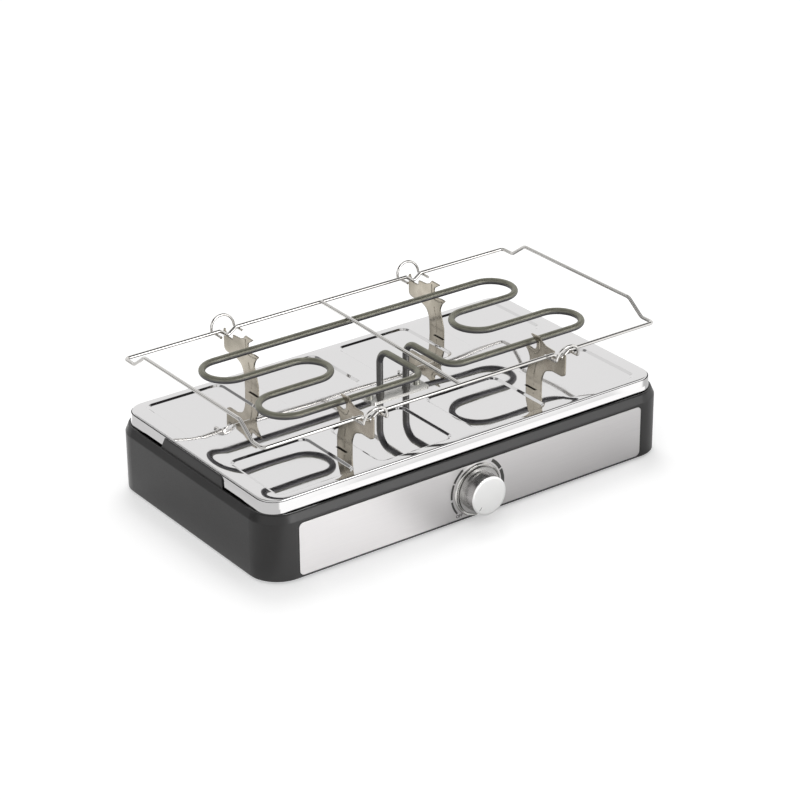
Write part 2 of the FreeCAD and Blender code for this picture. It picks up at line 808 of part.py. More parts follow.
# Tray: one sheet with a hanging skirt, eight sunk fields and welded studs
fieldStart = ((1 - columnCount) * fieldPitchX / 2, (1 - rowCount) * fieldPitchY / 2)
tray = startBody("Tray")
trayBlock = sketchOn(tray, "TrayBlock", "XY_Plane", dim.skirtBottom)
roundRectangle(trayBlock, trayLength, trayDepth, dim.trayCorner)
pad(tray, trayBlock, dim.trayTop - dim.skirtBottom)
roundEdges(tray, "TrayEdge", dim.trayEdge, lambda edge: isLevel(edge, dim.trayTop))
trayInside = sketchOn(tray, "TrayInside", "XY_Plane", dim.skirtBottom)
roundRectangle(trayInside, trayLength - 2 * dim.traySheet, trayDepth - 2 * dim.traySheet,
               dim.trayCorner - dim.traySheet)
pocket(tray, trayInside, trayUnder - dim.skirtBottom, back=True)
frontScallop = sketchOn(tray, "FrontScallop", "XZ_Plane")
outline(frontScallop, [
    (dim.skirtFrontFoot - trayLength / 2, dim.skirtBottom),
    (trayLength / 2 - dim.skirtFrontFoot, dim.skirtBottom),
    (trayLength / 2 - dim.skirtFrontTop, dim.skirtGapBottom),
    (dim.skirtFrontTop - trayLength / 2, dim.skirtGapBottom),
])
pocket(tray, frontScallop, trayDepth, both=True)
sideScallop = sketchOn(tray, "SideScallop", "YZ_Plane")
outline(sideScallop, [
    (dim.skirtSideFoot - trayDepth / 2, dim.skirtBottom),
    (trayDepth / 2 - dim.skirtSideFoot, dim.skirtBottom),
    (trayDepth / 2 - dim.skirtSideTop, dim.skirtGapBottom),
    (dim.skirtSideTop - trayDepth / 2, dim.skirtGapBottom),
])
pocket(tray, sideScallop, trayLength, both=True)
fieldFloor = sketchOn(tray, "FieldFloor", "XY_Plane", trayUnder)
roundRectangle(fieldFloor, fieldLength, dim.fieldWidth, dim.fieldCorner, *fieldStart)
floorPad = pad(tray, fieldFloor, dim.fieldRecess, back=True)
fieldTop = sketchOn(tray, "FieldTop", "XY_Plane", dim.trayTop)
roundRectangle(fieldTop, fieldLength, dim.fieldWidth, dim.fieldCorner, *fieldStart)
fieldBottom = sketchOn(tray, "FieldBottom", "XY_Plane", dim.trayTop - dim.fieldRecess)
roundRectangle(fieldBottom, fieldLength - 2 * dim.fieldRecess, dim.fieldWidth - 2 * dim.fieldRecess,
               dim.fieldCorner - dim.fieldRecess, *fieldStart)
recess = loft(tray, "Subtractive", fieldTop, fieldBottom)
fields = tray.newObject("PartDesign::MultiTransform", "Fields")
patterns = []
for name, role, copies, pitch in (("FieldRow", "X_Axis", columnCount, fieldPitchX),
                                  ("FieldColumn", "Y_Axis", rowCount, fieldPitchY)):
    pattern = tray.newObject("PartDesign::LinearPattern", name)
    axis = next(item for item in tray.Origin.OriginFeatures if item.Role == role)
    pattern.Direction = (axis, [""])
    pattern.Occurrences = copies
    bind(pattern, "Length", (copies - 1) * pitch)
    patterns.append(pattern)
fields.Originals = [floorPad, recess]
fields.Transformations = patterns
tray.Tip = fields
doc.recompute()
openings = sketchOn(tray, "TrayOpenings", "XY_Plane", dim.trayTop)
for side in (1, -1):
    circle(openings, dim.tubeRadius + dim.tubeFit, side * dim.leadSpacing / 2)
    circle(openings, dim.flangeScrewRadius + dim.screwFit, side * dim.flangeScrewX)
    for along in (1, -1):
        rectangle(openings, dim.slotWidth, strapOuter - strapInner + 2 * dim.slotEndGap, side * bracketX,
                  along * (strapOuter + strapInner) / 2)
pocket(tray, openings, dim.traySheet)
studFeet = sketchOn(tray, "TrayStuds", "XY_Plane", trayUnder)
for x, y in studs:
    circle(studFeet, dim.studRadius, x, y)
pad(tray, studFeet, trayUnder - deckUnder + dim.studReach, back=True)
keep(tray, "tray")


def nut(name, radius, height, bore, x, y, z):
    return cut(name, hexagon(name + "Block", radius, height, x, y, z),
               [cylinder(name + "Bore", bore, height, x, y, z)])


trayNuts = [nut("TrayNut%d" % index, dim.nutRadius, dim.nutHeight, dim.studRadius, x, y,
                deckUnder - dim.nutHeight)
            for index, (x, y) in enumerate(studs)]
keep(group("TrayNuts", trayNuts), "tray_nuts")

# Heat shield, riveted to the deck
shield = startBody("HeatShield")
shieldShape = sketchOn(shield, "ShieldShape", "XY_Plane", dim.deckTop)
roundRectangle(shieldShape, shieldLength, shieldWidth, dim.shieldCorner)
roundRectangle(shieldShape, dim.deckHoleLength, dim.deckHoleDepth, dim.flangeCorner)
pad(shield, shieldShape, dim.shieldThickness)
keep(shield, "heat_shield")
shieldTop = dim.deckTop + dim.shieldThickness
rivets = [cylinder("Rivet%d" % index, dim.rivetHead, dim.rivetHeadHeight,
                   sideX * (shieldLength / 2 - dim.rivetInset), sideY * (shieldWidth / 2 - dim.rivetInset),
                   shieldTop)
          for index, (sideX, sideY) in enumerate(((1, 1), (1, -1), (-1, 1), (-1, -1)))]
keep(group("ShieldRivets", rivets), "shield_rivets")

# Heater: one tube bent to and fro in a plane, both ends led down through the tray
rearTurn = (outerRow - dim.innerRowRear) / 2
rearTurnX = trayLength / 2 - dim.rearTurnInset


# Points from one lead to the middle of the rear run; the inner front row differs by side.
def heaterHalf(side, frontInset, frontRow):
    frontTurn = (outerRow - frontRow) / 2
    innerTurn = (dim.innerRowRear + frontRow) / 2
    lead = side * dim.leadSpacing / 2
    front = side * (trayLength / 2 - frontInset + frontTurn)
    inner = side * (bracketX - dim.innerTurnReach)
    rear = side * (rearTurnX + rearTurn)
    level = heaterLevel
    points = [
        (lead, 0, dim.leadFoot),
        (lead, 0, level),
        (lead, -outerRow, level),
        (front, -outerRow, level),
        (front, -frontRow, level),
        (inner, -frontRow, level),
        (inner, dim.innerRowRear, level),
        (rear, dim.innerRowRear, level),
        (rear, outerRow, level),
    ]
    bends = [dim.leadBend, dim.frontBend] + [frontTurn] * 2 + [innerTurn] * 2 + [rearTurn] * 2
    return points, bends


leftPoints, leftBends = heaterHalf(-1, dim.frontTurnInsetLeft, dim.innerRowLeft)
rightPoints, rightBends = heaterHalf(1, dim.frontTurnInsetRight, dim.innerRowRight)
heaterTube = rod("HeaterTube", dim.tubeRadius, leftPoints + rightPoints[::-1], leftBends + rightBends[::-1])
keep(heaterTube, "heater")

leads = (-dim.leadSpacing / 2, dim.leadSpacing / 2)
insulatorFoot = dim.leadFoot - dim.insulatorHeight
pinFoot = insulatorFoot - dim.pinLength
insulators = [cylinder("Insulator%d" % index, dim.insulatorRadius, dim.insulatorHeight, x, 0, insulatorFoot)
              for index, x in enumerate(leads)]
keep(group("Insulators", insulators), "heater_insulators")
pins = [cylinder("Pin%d" % index, dim.pinRadius, dim.pinLength, x, 0, pinFoot)
        for index, x in enumerate(leads)]
keep(group("Pins", pins), "heater_pins")
collars = [cut("Collar%d" % index,
               cylinder("CollarBlock%d" % index, dim.collarRingRadius, dim.collarRingHeight,
                        x, 0, flangeTop),
               [cylinder("CollarBore%d" % index, dim.tubeRadius + dim.shaftFit, dim.collarRingHeight,
                         x, 0, flangeTop)])
           for index, x in enumerate(leads)]
keep(group("Collars", collars), "heater_collars")
flange = startBody("HeaterFlange")
flangeShape = sketchOn(flange, "FlangeShape", "XY_Plane", dim.trayTop)
roundRectangle(flangeShape, dim.flangeLength, dim.flangeWidth, dim.flangeCorner)
for side in (1, -1):
    circle(flangeShape, dim.tubeRadius + dim.tubeFit, side * dim.leadSpacing / 2)
    circle(flangeShape, dim.flangeScrewRadius + dim.screwFit, side * dim.flangeScrewX)
pad(flange, flangeShape, dim.flangeThickness)
keep(flange, "heater_flange")
flangeScrews = [screw("FlangeScrew%d" % index, dim.flangeScrewHead, dim.flangeScrewHeadHeight,
                      dim.flangeScrewRadius, dim.flangeScrewLength, side * dim.flangeScrewX, 0,
                      flangeTop - dim.flangeScrewLength)
                for index, side in enumerate((1, -1))]
keep(group("FlangeScrews", flangeScrews), "flange_screws")
flangeNuts = [nut("FlangeNut%d" % index, dim.nutRadius, dim.nutHeight, dim.flangeScrewRadius,
                  side * dim.flangeScrewX, 0, trayUnder - dim.nutHeight)
              for index, side in enumerate((1, -1))]
keep(group("FlangeNuts", flangeNuts), "flange_nuts")

# Bracket: a flat strap up through the tray with a hook round the heater, a
# saddle that carries the wire frame, and a foot turned under the tray.
dipHalf = dim.dipWidth / 2
dipSlant = root(dipHalf * dipHalf + dim.dipDepth * dim.dipDepth)
dipSag = dim.dipBend * (dipSlant / dipHalf - 1)
dipFloor = dim.frameHeight - dim.dipDepth + dipSag - dim.wireRadius - dim.frameClearance
hookFloor = heaterLevel - dim.tubeRadius - dim.hookSeat
saddleOuter = frameY + dim.wireRadius + dim.frameClearance
prongOuter = saddleOuter + dim.prongWidth
footUnder = trayUnder - dim.bracketThickness
bracketProfile = [
    (strapInner, footUnder),
    (strapInner, dim.strapLean),
    (outerRow - dim.neckSetback, heaterLevel - dim.neckDrop),
    (outerRow - dim.toothReach, heaterLevel - dim.toothDrop),
    (outerRow - dim.toothTaper, hookFloor),
    (outerRow + dim.hookThroat, hookFloor),
    (outerRow + dim.hookThroat, heaterLevel + dim.throatRise),
    (outerRow + dim.hornReach, heaterLevel + dim.hornRise),
    (outerRow + dim.hornBack, heaterLevel + dim.hornRise),
    (frameY - dim.shoulderReach, dim.frameHeight - dim.saddleDrop),
    (frameY - dim.saddleReach, dim.frameHeight - dim.saddleDrop),
    (frameY - dim.saddleReach, dipFloor),
    (saddleOuter, dipFloor),
    (prongOuter - dim.prongTip, dim.frameHeight),
    (prongOuter, dim.frameHeight - dim.prongTip),
    (prongOuter, armUnder),
    (strapOuter, armUnder),
    (strapOuter, footUnder),
]


def isAcross(edge, along, height):
    box = edge.BoundBox
    return box.XLength > 0.1 and near(box.ZMin, height) and near(abs(box.Center.y), along)


for side, sideName in ((-1, "left"), (1, "right")):
    for along, alongName in ((-1, "front"), (1, "rear")):
        label = "bracket_%s_%s" % (alongName, sideName)
        bracket = startBody("Bracket_%s_%s" % (alongName, sideName))
        blank = sketchOn(bracket, bracket.Name + "Blank", "YZ_Plane", side * bracketX)
        outline(blank, [(along * y, z) for y, z in bracketProfile])
        pad(bracket, blank, dim.bracketThickness, both=True)
        roundEdges(bracket, bracket.Name + "Inner", dim.armFillet,
                   lambda edge: isAcross(edge, strapOuter, armUnder))
        roundEdges(bracket, bracket.Name + "Outer", dim.prongFillet,
                   lambda edge: isAcross(edge, prongOuter, armUnder))
        sole = sketchOn(bracket, bracket.Name + "Sole", "XY_Plane", footUnder)
        rectangle(sole, dim.bracketFoot, strapOuter - strapInner,
                  side * (bracketX + dim.bracketFoot / 2 - dim.bracketThickness / 2),
                  along * (strapOuter + strapInner) / 2)
        pad(bracket, sole, dim.bracketThickness)
        keep(bracket, label)

# Wire frame: two long wires that dip into the saddles, two raised ends, a
# cross wire butted between the long ones, and a lifting hoop over each dip.
level = dim.frameHeight
straightX = frameX - dim.frameCorner
riseFoot = frameY - dim.frameCorner - dim.endRun
riseTop = riseFoot - dim.endSlope
for along, alongName in ((-1, "front"), (1, "rear")):
    y = along * frameY
    points = [(-straightX, y, level)]
    for x in (-bracketX, bracketX):
        points += [(x - dipHalf, y, level), (x, y, level - dim.dipDepth), (x + dipHalf, y, level)]
    points.append((straightX, y, level))
    keep(rod("LongWire_" + alongName, dim.wireRadius, points, [dim.dipBend] * 6), "frame_wire_" + alongName)
for side, sideName in ((-1, "left"), (1, "right")):
    x = side * frameX
    points = [
        (side * straightX, -frameY, level),
        (x, -frameY, level),
        (x, -riseFoot, level),
        (x, -riseTop, level + dim.endRise),
        (x, riseTop, level + dim.endRise),
        (x, riseFoot, level),
        (x, frameY, level),
        (side * straightX, frameY, level),
    ]
    bends = [dim.frameCorner] + [dim.endBend] * 4 + [dim.frameCorner]
    keep(rod("EndWire_" + sideName, dim.wireRadius, points, bends), "frame_end_" + sideName)
crossY = frameY - dim.wireRadius
crossLevel = level + dim.crossLift
crossPoints = [(dim.crossFrontX, -crossY, crossLevel), (dim.crossBackX, crossY, crossLevel)]
keep(rod("CrossWire", dim.wireRadius, crossPoints, []), "frame_cross_wire")

hoopTopLevel = level + dim.hoopRise - dim.hoopWireRadius
hoopFootLevel = level - dim.wireRadius - dim.hoopWireRadius
hoopReach = dim.hoopOverhang
hoopTopReach = hoopReach + dim.hoopLean
for side, sideName in ((-1, "left"), (1, "right")):
    for along, alongName in ((-1, "front"), (1, "rear")):
        left, right = [side * bracketX + step * dim.hoopRadius for step in (-1, 1)]
        tail, foot, top = [along * (frameY + reach) for reach in (-dim.tailSetback, hoopReach, hoopTopReach)]
        points = [
            (left, tail, hoopFootLevel),
            (left, foot, hoopFootLevel),
            (left, top, hoopTopLevel),
            (right, top, hoopTopLevel),
            (right, foot, hoopFootLevel),
            (right, tail, hoopFootLevel),
        ]
        bends = [dim.tailBend, dim.hoopRadius, dim.hoopRadius, dim.tailBend]
        keep(rod("Hoop_%s_%s" % (alongName, sideName), dim.hoopWireRadius, points, bends),
             "hoop_%s_%s" % (alongName, sideName))

# Electrical parts inside: push-on connectors, thermal fuse, terminal block,
# earth screw, cord inlet and the wires between them.
connectorFoot = pinFoot - dim.connectorWall
connectorLength = dim.connectorGrip + dim.connectorWall
connectors = [cut("Connector%d" % index,
                  cylinder("ConnectorBlock%d" % index, dim.connectorRadius, connectorLength,
                           x, 0, connectorFoot),
                  [cylinder("ConnectorBore%d" % index, dim.pinRadius + dim.shaftFit, dim.connectorGrip,
                            x, 0, pinFoot)])
              for index, x in enumerate(leads)]
keep(group("Connectors", connectors), "heater_connectors")

fuseLevel = deckUnder - dim.clipWall - dim.fuseRadius
fuseCan = cylinder("FuseCan", dim.fuseRadius, dim.fuseLength, dim.fuseX - dim.fuseLength / 2, dim.fuseY,
                 fuseLevel, toRight)
keep(group("ThermalFuse", [fuseCan]), "thermal_fuse")
clipHalf = dim.fuseRadius + dim.clipWall
clipBlock = box("ClipBlock", dim.clipLength, 2 * clipHalf, 2 * clipHalf, dim.fuseX - dim.clipLength / 2,
                dim.fuseY - clipHalf, deckUnder - 2 * clipHalf)
clipBore = cylinder("ClipBore", dim.fuseRadius + dim.shaftFit, dim.clipLength,
                    dim.fuseX - dim.clipLength / 2,
                    dim.fuseY, fuseLevel, toRight)
keep(cut("FuseClip", clipBlock, [clipBore]), "fuse_clip")

blockLevel = plateTop + dim.blockHeight / 2
blockFront = dim.blockY - dim.blockWidth / 2
block = box("BlockBody", dim.blockLength, dim.blockWidth, dim.blockHeight, blockX - dim.blockLength / 2,
            blockFront, plateTop)
keep(group("TerminalBlock", [block]), "terminal_block")
blockScrews = [cylinder("BlockScrew%d" % index, dim.blockScrewRadius, dim.blockScrewHeight,
                        blockX + step * dim.blockLength / 4, dim.blockY, plateTop + dim.blockHeight)
               for index, step in enumerate((-1, 1))]
keep(group("BlockScrews", blockScrews), "block_screws")

earthLevel = deckUnder - dim.earthBossHeight
earthHead = earthLevel - dim.bottomScrewHeadHeight
earthScrew = screw("EarthScrew", dim.bottomScrewHead, dim.bottomScrewHeadHeight, dim.bottomScrewRadius,
                   dim.earthBossHeight, earthX, dim.earthY, deckUnder, upsideDown)
keep(group("EarthScrews", [earthScrew]), "earth_screw")

gland = fuse("GlandBody", [
    cylinder("GlandFlange", dim.inletFlange, dim.inletProud, inletX, inletReach, dim.inletHeight, toFront),
    cylinder("GlandNeck", dim.inletRadius, dim.inletLength, inletX, halfDepth, dim.inletHeight, toFront),
])
glandBore = cylinder("GlandBore", dim.inletBore, dim.inletProud + dim.inletLength, inletX, inletReach,
                     dim.inletHeight, toFront)
keep(cut("CordInlet", gland, [glandBore]), "cord_inlet")
nutBack = halfDepth - dim.bodyWall
inletNut = cut("InletNut",
               hexagon("InletNutBlock", dim.inletNutRadius, dim.inletNutHeight, inletX, nutBack,
                       dim.inletHeight, toFront),
               [cylinder("InletNutBore", dim.inletRadius, dim.inletNutHeight, inletX, nutBack,
                         dim.inletHeight, toFront)])
keep(inletNut, "inlet_nut")

tagEnd = thermostatEnd + dim.tagLength
leadLeft, leadRight = leads
fuseLeft, fuseRight = [dim.fuseX + step * dim.fuseLength / 2 for step in (-1, 1)]
blockLeft, blockRight = [blockX + step * dim.blockLength / 2 for step in (-1, 1)]
wires = {
    "wire_fuse_heater": [
        (leadLeft, 0, connectorFoot),
        (leadLeft, 0, dim.wireLevel),
        (leadLeft, dim.fuseY, dim.wireLevel),
        (leadLeft, dim.fuseY, fuseLevel),
        (fuseRight, dim.fuseY, fuseLevel),
    ],
    "wire_thermostat_fuse": [
        (-dim.tagOffset, tagEnd, dim.knobHeight),
        (-dim.tagOffset, tagEnd + dim.wireRun, dim.knobHeight),
        (fuseLeft - dim.wireRun, tagEnd + dim.wireRun, dim.knobHeight),
        (fuseLeft - dim.wireRun, dim.fuseY, dim.knobHeight),
        (fuseLeft - dim.wireRun, dim.fuseY, fuseLevel),
        (fuseLeft, dim.fuseY, fuseLevel),
    ],
    "wire_block_thermostat": [
        (dim.tagOffset, tagEnd, dim.knobHeight),
        (dim.tagOffset, tagEnd + dim.wireRun, dim.knobHeight),
        (blockX, tagEnd + dim.wireRun, dim.knobHeight),
        (blockX, tagEnd + dim.wireRun, blockLevel),
        (blockX, blockFront, blockLevel),
    ],
    "wire_block_heater": [
        (leadRight, 0, connectorFoot),
        (leadRight, 0, blockLevel),
        (leadRight, dim.blockY, blockLevel),
        (blockLeft, dim.blockY, blockLevel),
    ],
    "wire_earth": [
        (blockRight, dim.blockY, blockLevel),
        (blockRight + dim.wireRun, dim.blockY, blockLevel),
        (blockRight + dim.wireRun, dim.earthY, blockLevel),
        (earthX, dim.earthY, blockLevel),
        (earthX, dim.earthY, earthHead),
    ],
}
for label, points in wires.items():
    keep(rod(label.title().replace("_", ""), dim.wireLeadRadius, points, [dim.wireBend] * (len(points) - 2)),
         label)

doc.recompute()
failed = [item.Name for item in doc.Objects if "Invalid" in item.State or "Error" in item.State]
if failed:
    raise RuntimeError("failed features: " + ", ".join(failed))
for item in finished:
    if item.Shape.isNull() or not item.Shape.isValid() or not item.Shape.Solids:
        raise RuntimeError("no valid solid in " + item.Label)
for item in finished:
    item.Shape.exportStep("parts/%s.step" % item.Label)
print(len(finished), "sub-parts written")
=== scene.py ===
import bpy
import bmesh
import math
from mathutils import Matrix, Vector


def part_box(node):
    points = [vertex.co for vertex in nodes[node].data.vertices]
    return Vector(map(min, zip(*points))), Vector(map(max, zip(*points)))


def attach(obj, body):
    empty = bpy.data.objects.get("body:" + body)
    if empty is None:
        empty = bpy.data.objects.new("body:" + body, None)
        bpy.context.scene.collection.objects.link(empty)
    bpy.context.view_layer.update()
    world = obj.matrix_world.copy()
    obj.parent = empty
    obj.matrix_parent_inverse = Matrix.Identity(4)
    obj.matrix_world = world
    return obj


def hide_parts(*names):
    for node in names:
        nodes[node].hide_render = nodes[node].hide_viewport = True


# Raclette grill on a pale floor. Lengths are in millimetres unless a name says otherwise.
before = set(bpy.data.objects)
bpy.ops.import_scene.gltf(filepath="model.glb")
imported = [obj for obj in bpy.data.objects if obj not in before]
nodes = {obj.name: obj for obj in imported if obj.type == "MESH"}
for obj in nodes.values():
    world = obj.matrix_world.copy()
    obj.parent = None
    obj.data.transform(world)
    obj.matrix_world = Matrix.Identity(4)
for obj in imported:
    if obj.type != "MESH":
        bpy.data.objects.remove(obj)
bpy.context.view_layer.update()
housingLow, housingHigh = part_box("housing")
midY = (housingLow.y + housingHigh.y) * 500  # the housing's middle, front to back
knobHeight = 30  # of the knob's axis
weldDistance = 0.00001  # metres
noiseLow, noiseHigh = 0.3, 0.7  # most of a noise field lies between these
print("frame loaded:", len(nodes), "nodes")


def spot(x, y, z):  # from millimetres, measured from under the housing's middle, to metres
    return Vector((x, y + midY, z)) / 1000


def linearColour(code):
    channels = [int(code[i:i + 2], 16) / 255 for i in (1, 3, 5)]
    return [c / 12.92 if c <= 0.04045 else ((c + 0.055) / 1.055) ** 2.4 for c in channels] + [1.0]


def setInputs(tree, node, values):  # another node's output is linked, anything else is a value
    for name, value in values.items():
        if isinstance(value, bpy.types.NodeSocket):
            tree.links.new(value, node.inputs[name])
        else:
            node.inputs[name].default_value = value


def addNode(tree, kind, inputs=None, **settings):
    node = tree.nodes.new(kind)
    for name, value in settings.items():
        setattr(node, name, value)
    setInputs(tree, node, inputs or {})
    return node


# Each finish is named for what the real piece is made of. Its first comment says how that looks.
def startMaterial(name):
    material = bpy.data.materials.new(name)
    material.use_nodes = True
    tree = material.node_tree
    tree.nodes.clear()
    shader = addNode(tree, "ShaderNodeBsdfPrincipled")
    addNode(tree, "ShaderNodeOutputMaterial", {"Surface": shader.outputs["BSDF"]})
    place = addNode(tree, "ShaderNodeTexCoord").outputs["Object"]
    return material, tree, shader, place


def noiseField(tree, place, sizeMm, detail, stretch=(1, 1, 1)):
    scaled = addNode(tree, "ShaderNodeMapping", {"Vector": place, "Scale": stretch})
    field = addNode(tree, "ShaderNodeTexNoise", {
        "Vector": scaled.outputs["Vector"], "Scale": 1000 / sizeMm, "Detail": detail})
    return field.outputs["Fac"]


def ramp(tree, factor, stops):
    node = addNode(tree, "ShaderNodeValToRGB", {"Fac": factor})
    while len(node.color_ramp.elements) < len(stops):
        node.color_ramp.elements.new(0.5)
    for element, (position, code) in zip(node.color_ramp.elements, stops):
        element.position = position
        element.color = linearColour(code)
    return node.outputs["Color"]


def spread(tree, value, low, high, fromLow=noiseLow, fromHigh=noiseHigh):
    node = addNode(tree, "ShaderNodeMapRange", {
        "Value": value, "From Min": fromLow, "From Max": fromHigh, "To Min": low, "To Max": high})
    return node.outputs["Result"]


bevelSamples = 6


def bumpOf(tree, height, distanceMm, edgeMm=0):
    node = addNode(tree, "ShaderNodeBump", {"Height": height, "Distance": distanceMm / 1000})
    if edgeMm:  # a rounded edge that catches the light
        edge = addNode(tree, "ShaderNodeBevel", {"Radius": edgeMm / 1000}, samples=bevelSamples)
        tree.links.new(edge.outputs["Normal"], node.inputs["Normal"])
    return node.outputs["Normal"]


housingLook = {"colour": "#232222", "paler": "#282727", "cloudMm": 60, "roughness": (0.29, 0.4),
               "grainMm": 0.9, "grainDepth": 0.02, "edgeMm": 2.0, "ior": 1.5}


def mouldedHousingPlastic():
    # ABS, moulded with a fine eroded grain: dark warm grey with a soft sheen and rounded edges
    material, tree, shader, place = startMaterial("mouldedAbs")
    grain = noiseField(tree, place, housingLook["grainMm"], detail=2.0)
    cloud = noiseField(tree, place, housingLook["cloudMm"], detail=2.0)
    setInputs(tree, shader, {
        "Base Color": ramp(tree, cloud, [(0.35, housingLook["colour"]), (0.65, housingLook["paler"])]),
        "Roughness": spread(tree, grain, *housingLook["roughness"]),
        "Normal": bumpOf(tree, grain, housingLook["grainDepth"], housingLook["edgeMm"]),
        "IOR": housingLook["ior"],
    })
    return material


panelLook = {"bright": "#d1cfcf", "dull": "#cdcbcb", "roughness": (0.285, 0.315), "smear": 0.85,
             "lineMm": 0.35, "lineStretch": (0.012, 1, 1), "lineDepth": 0.0005, "edgeMm": 0.5}


def satinPanelSteel():
    # stainless sheet, brushed along its length: fine level lines that smear reflections up and down
    material, tree, shader, place = startMaterial("brushedStainless")
    lines = noiseField(tree, place, panelLook["lineMm"], detail=3.0, stretch=panelLook["lineStretch"])
    setInputs(tree, shader, {
        "Base Color": ramp(tree, lines, [(noiseLow, panelLook["dull"]), (noiseHigh, panelLook["bright"])]),
        "Metallic": 1.0,
        "Roughness": spread(tree, lines, *panelLook["roughness"]),
        "Normal": bumpOf(tree, lines, panelLook["lineDepth"], panelLook["edgeMm"]),
        "Anisotropic": panelLook["smear"],
        "Tangent": addNode(tree, "ShaderNodeCombineXYZ", {"Z": 1.0}).outputs["Vector"],
    })
    return material


trayLook = {"colour": "#dcdbdb", "roughness": (0.03, 0.07), "wipeMm": 35, "wipeStretch": (1, 2.5, 1),
            "wipeFrom": (0.45, 0.75), "waveMm": 85, "waveDepth": 1.0}


def mirrorTraySteel():
    # stainless sheet, polished bright: a slightly soft mirror, faintly wavy from pressing
    material, tree, shader, place = startMaterial("polishedStainless")
    wipe = noiseField(tree, place, trayLook["wipeMm"], detail=4.0, stretch=trayLook["wipeStretch"])
    wave = noiseField(tree, place, trayLook["waveMm"], detail=0.0)
    setInputs(tree, shader, {
        "Base Color": linearColour(trayLook["colour"]),
        "Metallic": 1.0,
        "Roughness": spread(tree, wipe, *trayLook["roughness"], *trayLook["wipeFrom"]),
        "Normal": bumpOf(tree, wave, trayLook["waveDepth"]),
    })
    return material


plateLook = {"patchMm": 2.5, "dulled": 0.03}


def chromePlate(name="chromePlate", roughness=0.05, colour="#d9d7d4"):
    # bright chrome over steel: clear reflections, a little duller in small patches
    material, tree, shader, place = startMaterial(name)
    patch = noiseField(tree, place, plateLook["patchMm"], detail=2.0)
    setInputs(tree, shader, {
        "Base Color": linearColour(colour),
        "Metallic": 1.0,
        "Roughness": spread(tree, patch, roughness, roughness + plateLook["dulled"]),
    })
    return material


# the underside colour is a painted shade, blended in by how far the surface faces down
heaterLook = {"stops": [(0.3, "#78776a"), (0.5, "#838275"), (0.72, "#8f8e7f")], "blotchMm": 16,
              "under": "#68676a", "underFrom": (-0.15, 0.45), "metallic": 0.65,
              "roughness": (0.38, 0.5), "fineMm": 1.2, "fineDepth": 0.01}


def oxidisedHeaterTube():
    # steel tube, annealed and oxidised olive grey: satin, with soft blotches from the first heating
    # and a painted shade that turns the underside slate grey where the surface faces down
    material, tree, shader, place = startMaterial("oxidisedSteelTube")
    blotch = noiseField(tree, place, heaterLook["blotchMm"], detail=4.0)
    fine = noiseField(tree, place, heaterLook["fineMm"], detail=2.0)
    upward = addNode(tree, "ShaderNodeSeparateXYZ",
                     {"Vector": addNode(tree, "ShaderNodeNewGeometry").outputs["Normal"]}).outputs["Z"]
    # painted shade: the blotched olive colour turns slate grey as the surface normal turns downward
    blotchesAndPaintedShade = addNode(tree, "ShaderNodeMix", {  # a Mix node's colour sockets go by number
        0: spread(tree, upward, 0.0, 1.0, *heaterLook["underFrom"]),
        6: linearColour(heaterLook["under"]), 7: ramp(tree, blotch, heaterLook["stops"])}, data_type="RGBA")
    setInputs(tree, shader, {
        "Base Color": blotchesAndPaintedShade.outputs[2],
        "Metallic": heaterLook["metallic"],
        "Roughness": spread(tree, fine, *heaterLook["roughness"]),
        "Normal": bumpOf(tree, fine, heaterLook["fineDepth"]),
    })
    return material


bracketLook = {"stops": [(0.3, "#958f82"), (0.44, "#b0a99b"), (0.54, "#c2bbad"), (0.64, "#b2a99c"),
                         (0.78, "#c9c3b6")], "cloudMm": 40, "cloudDepth": 0.03, "edgeMm": 1.8,
               "metallic": 0.9, "roughness": (0.16, 0.24), "scuffMm": 4, "scuffStretch": (1, 1, 0.5)}


def heatTintedBracketSteel():
    # bare sheet steel, stamped and heat tinted: straw and brown clouds over grey metal
    material, tree, shader, place = startMaterial("heatTintedSteel")
    cloud = noiseField(tree, place, bracketLook["cloudMm"], detail=2.0)
    scuff = noiseField(tree, place, bracketLook["scuffMm"], detail=2.0, stretch=bracketLook["scuffStretch"])
    setInputs(tree, shader, {
        "Base Color": ramp(tree, cloud, bracketLook["stops"]),
        "Metallic": bracketLook["metallic"],
        "Roughness": spread(tree, scuff, *bracketLook["roughness"]),
        "Normal": bumpOf(tree, cloud, bracketLook["cloudDepth"], bracketLook["edgeMm"]),
    })
    return material


knobLook = {"gripDark": "#c2c1c0", "grip": "#c6c5c3", "gripRoughness": (0.23, 0.26), "fleckMm": 0.8}


def lacqueredKnobPlastic():
    # ABS, sprayed with a satin metal lacquer: smooth silver grey that shows soft reflections
    material, tree, shader, place = startMaterial("lacqueredAbs")
    fleck = noiseField(tree, place, knobLook["fleckMm"], detail=2.0)
    setInputs(tree, shader, {
        "Base Color": ramp(tree, fleck, [(noiseLow, knobLook["gripDark"]), (noiseHigh, knobLook["grip"])]),
        "Metallic": 1.0,
        "Roughness": spread(tree, fleck, *knobLook["gripRoughness"]),
    })
    return material


capLook = {"colour": "#fdfdfc", "metallic": 0.85, "roughness": (0.36, 0.44),
           "ringsPerMetre": 2600.0, "ringDepth": 0.0015, "edgeMm": 0.8}


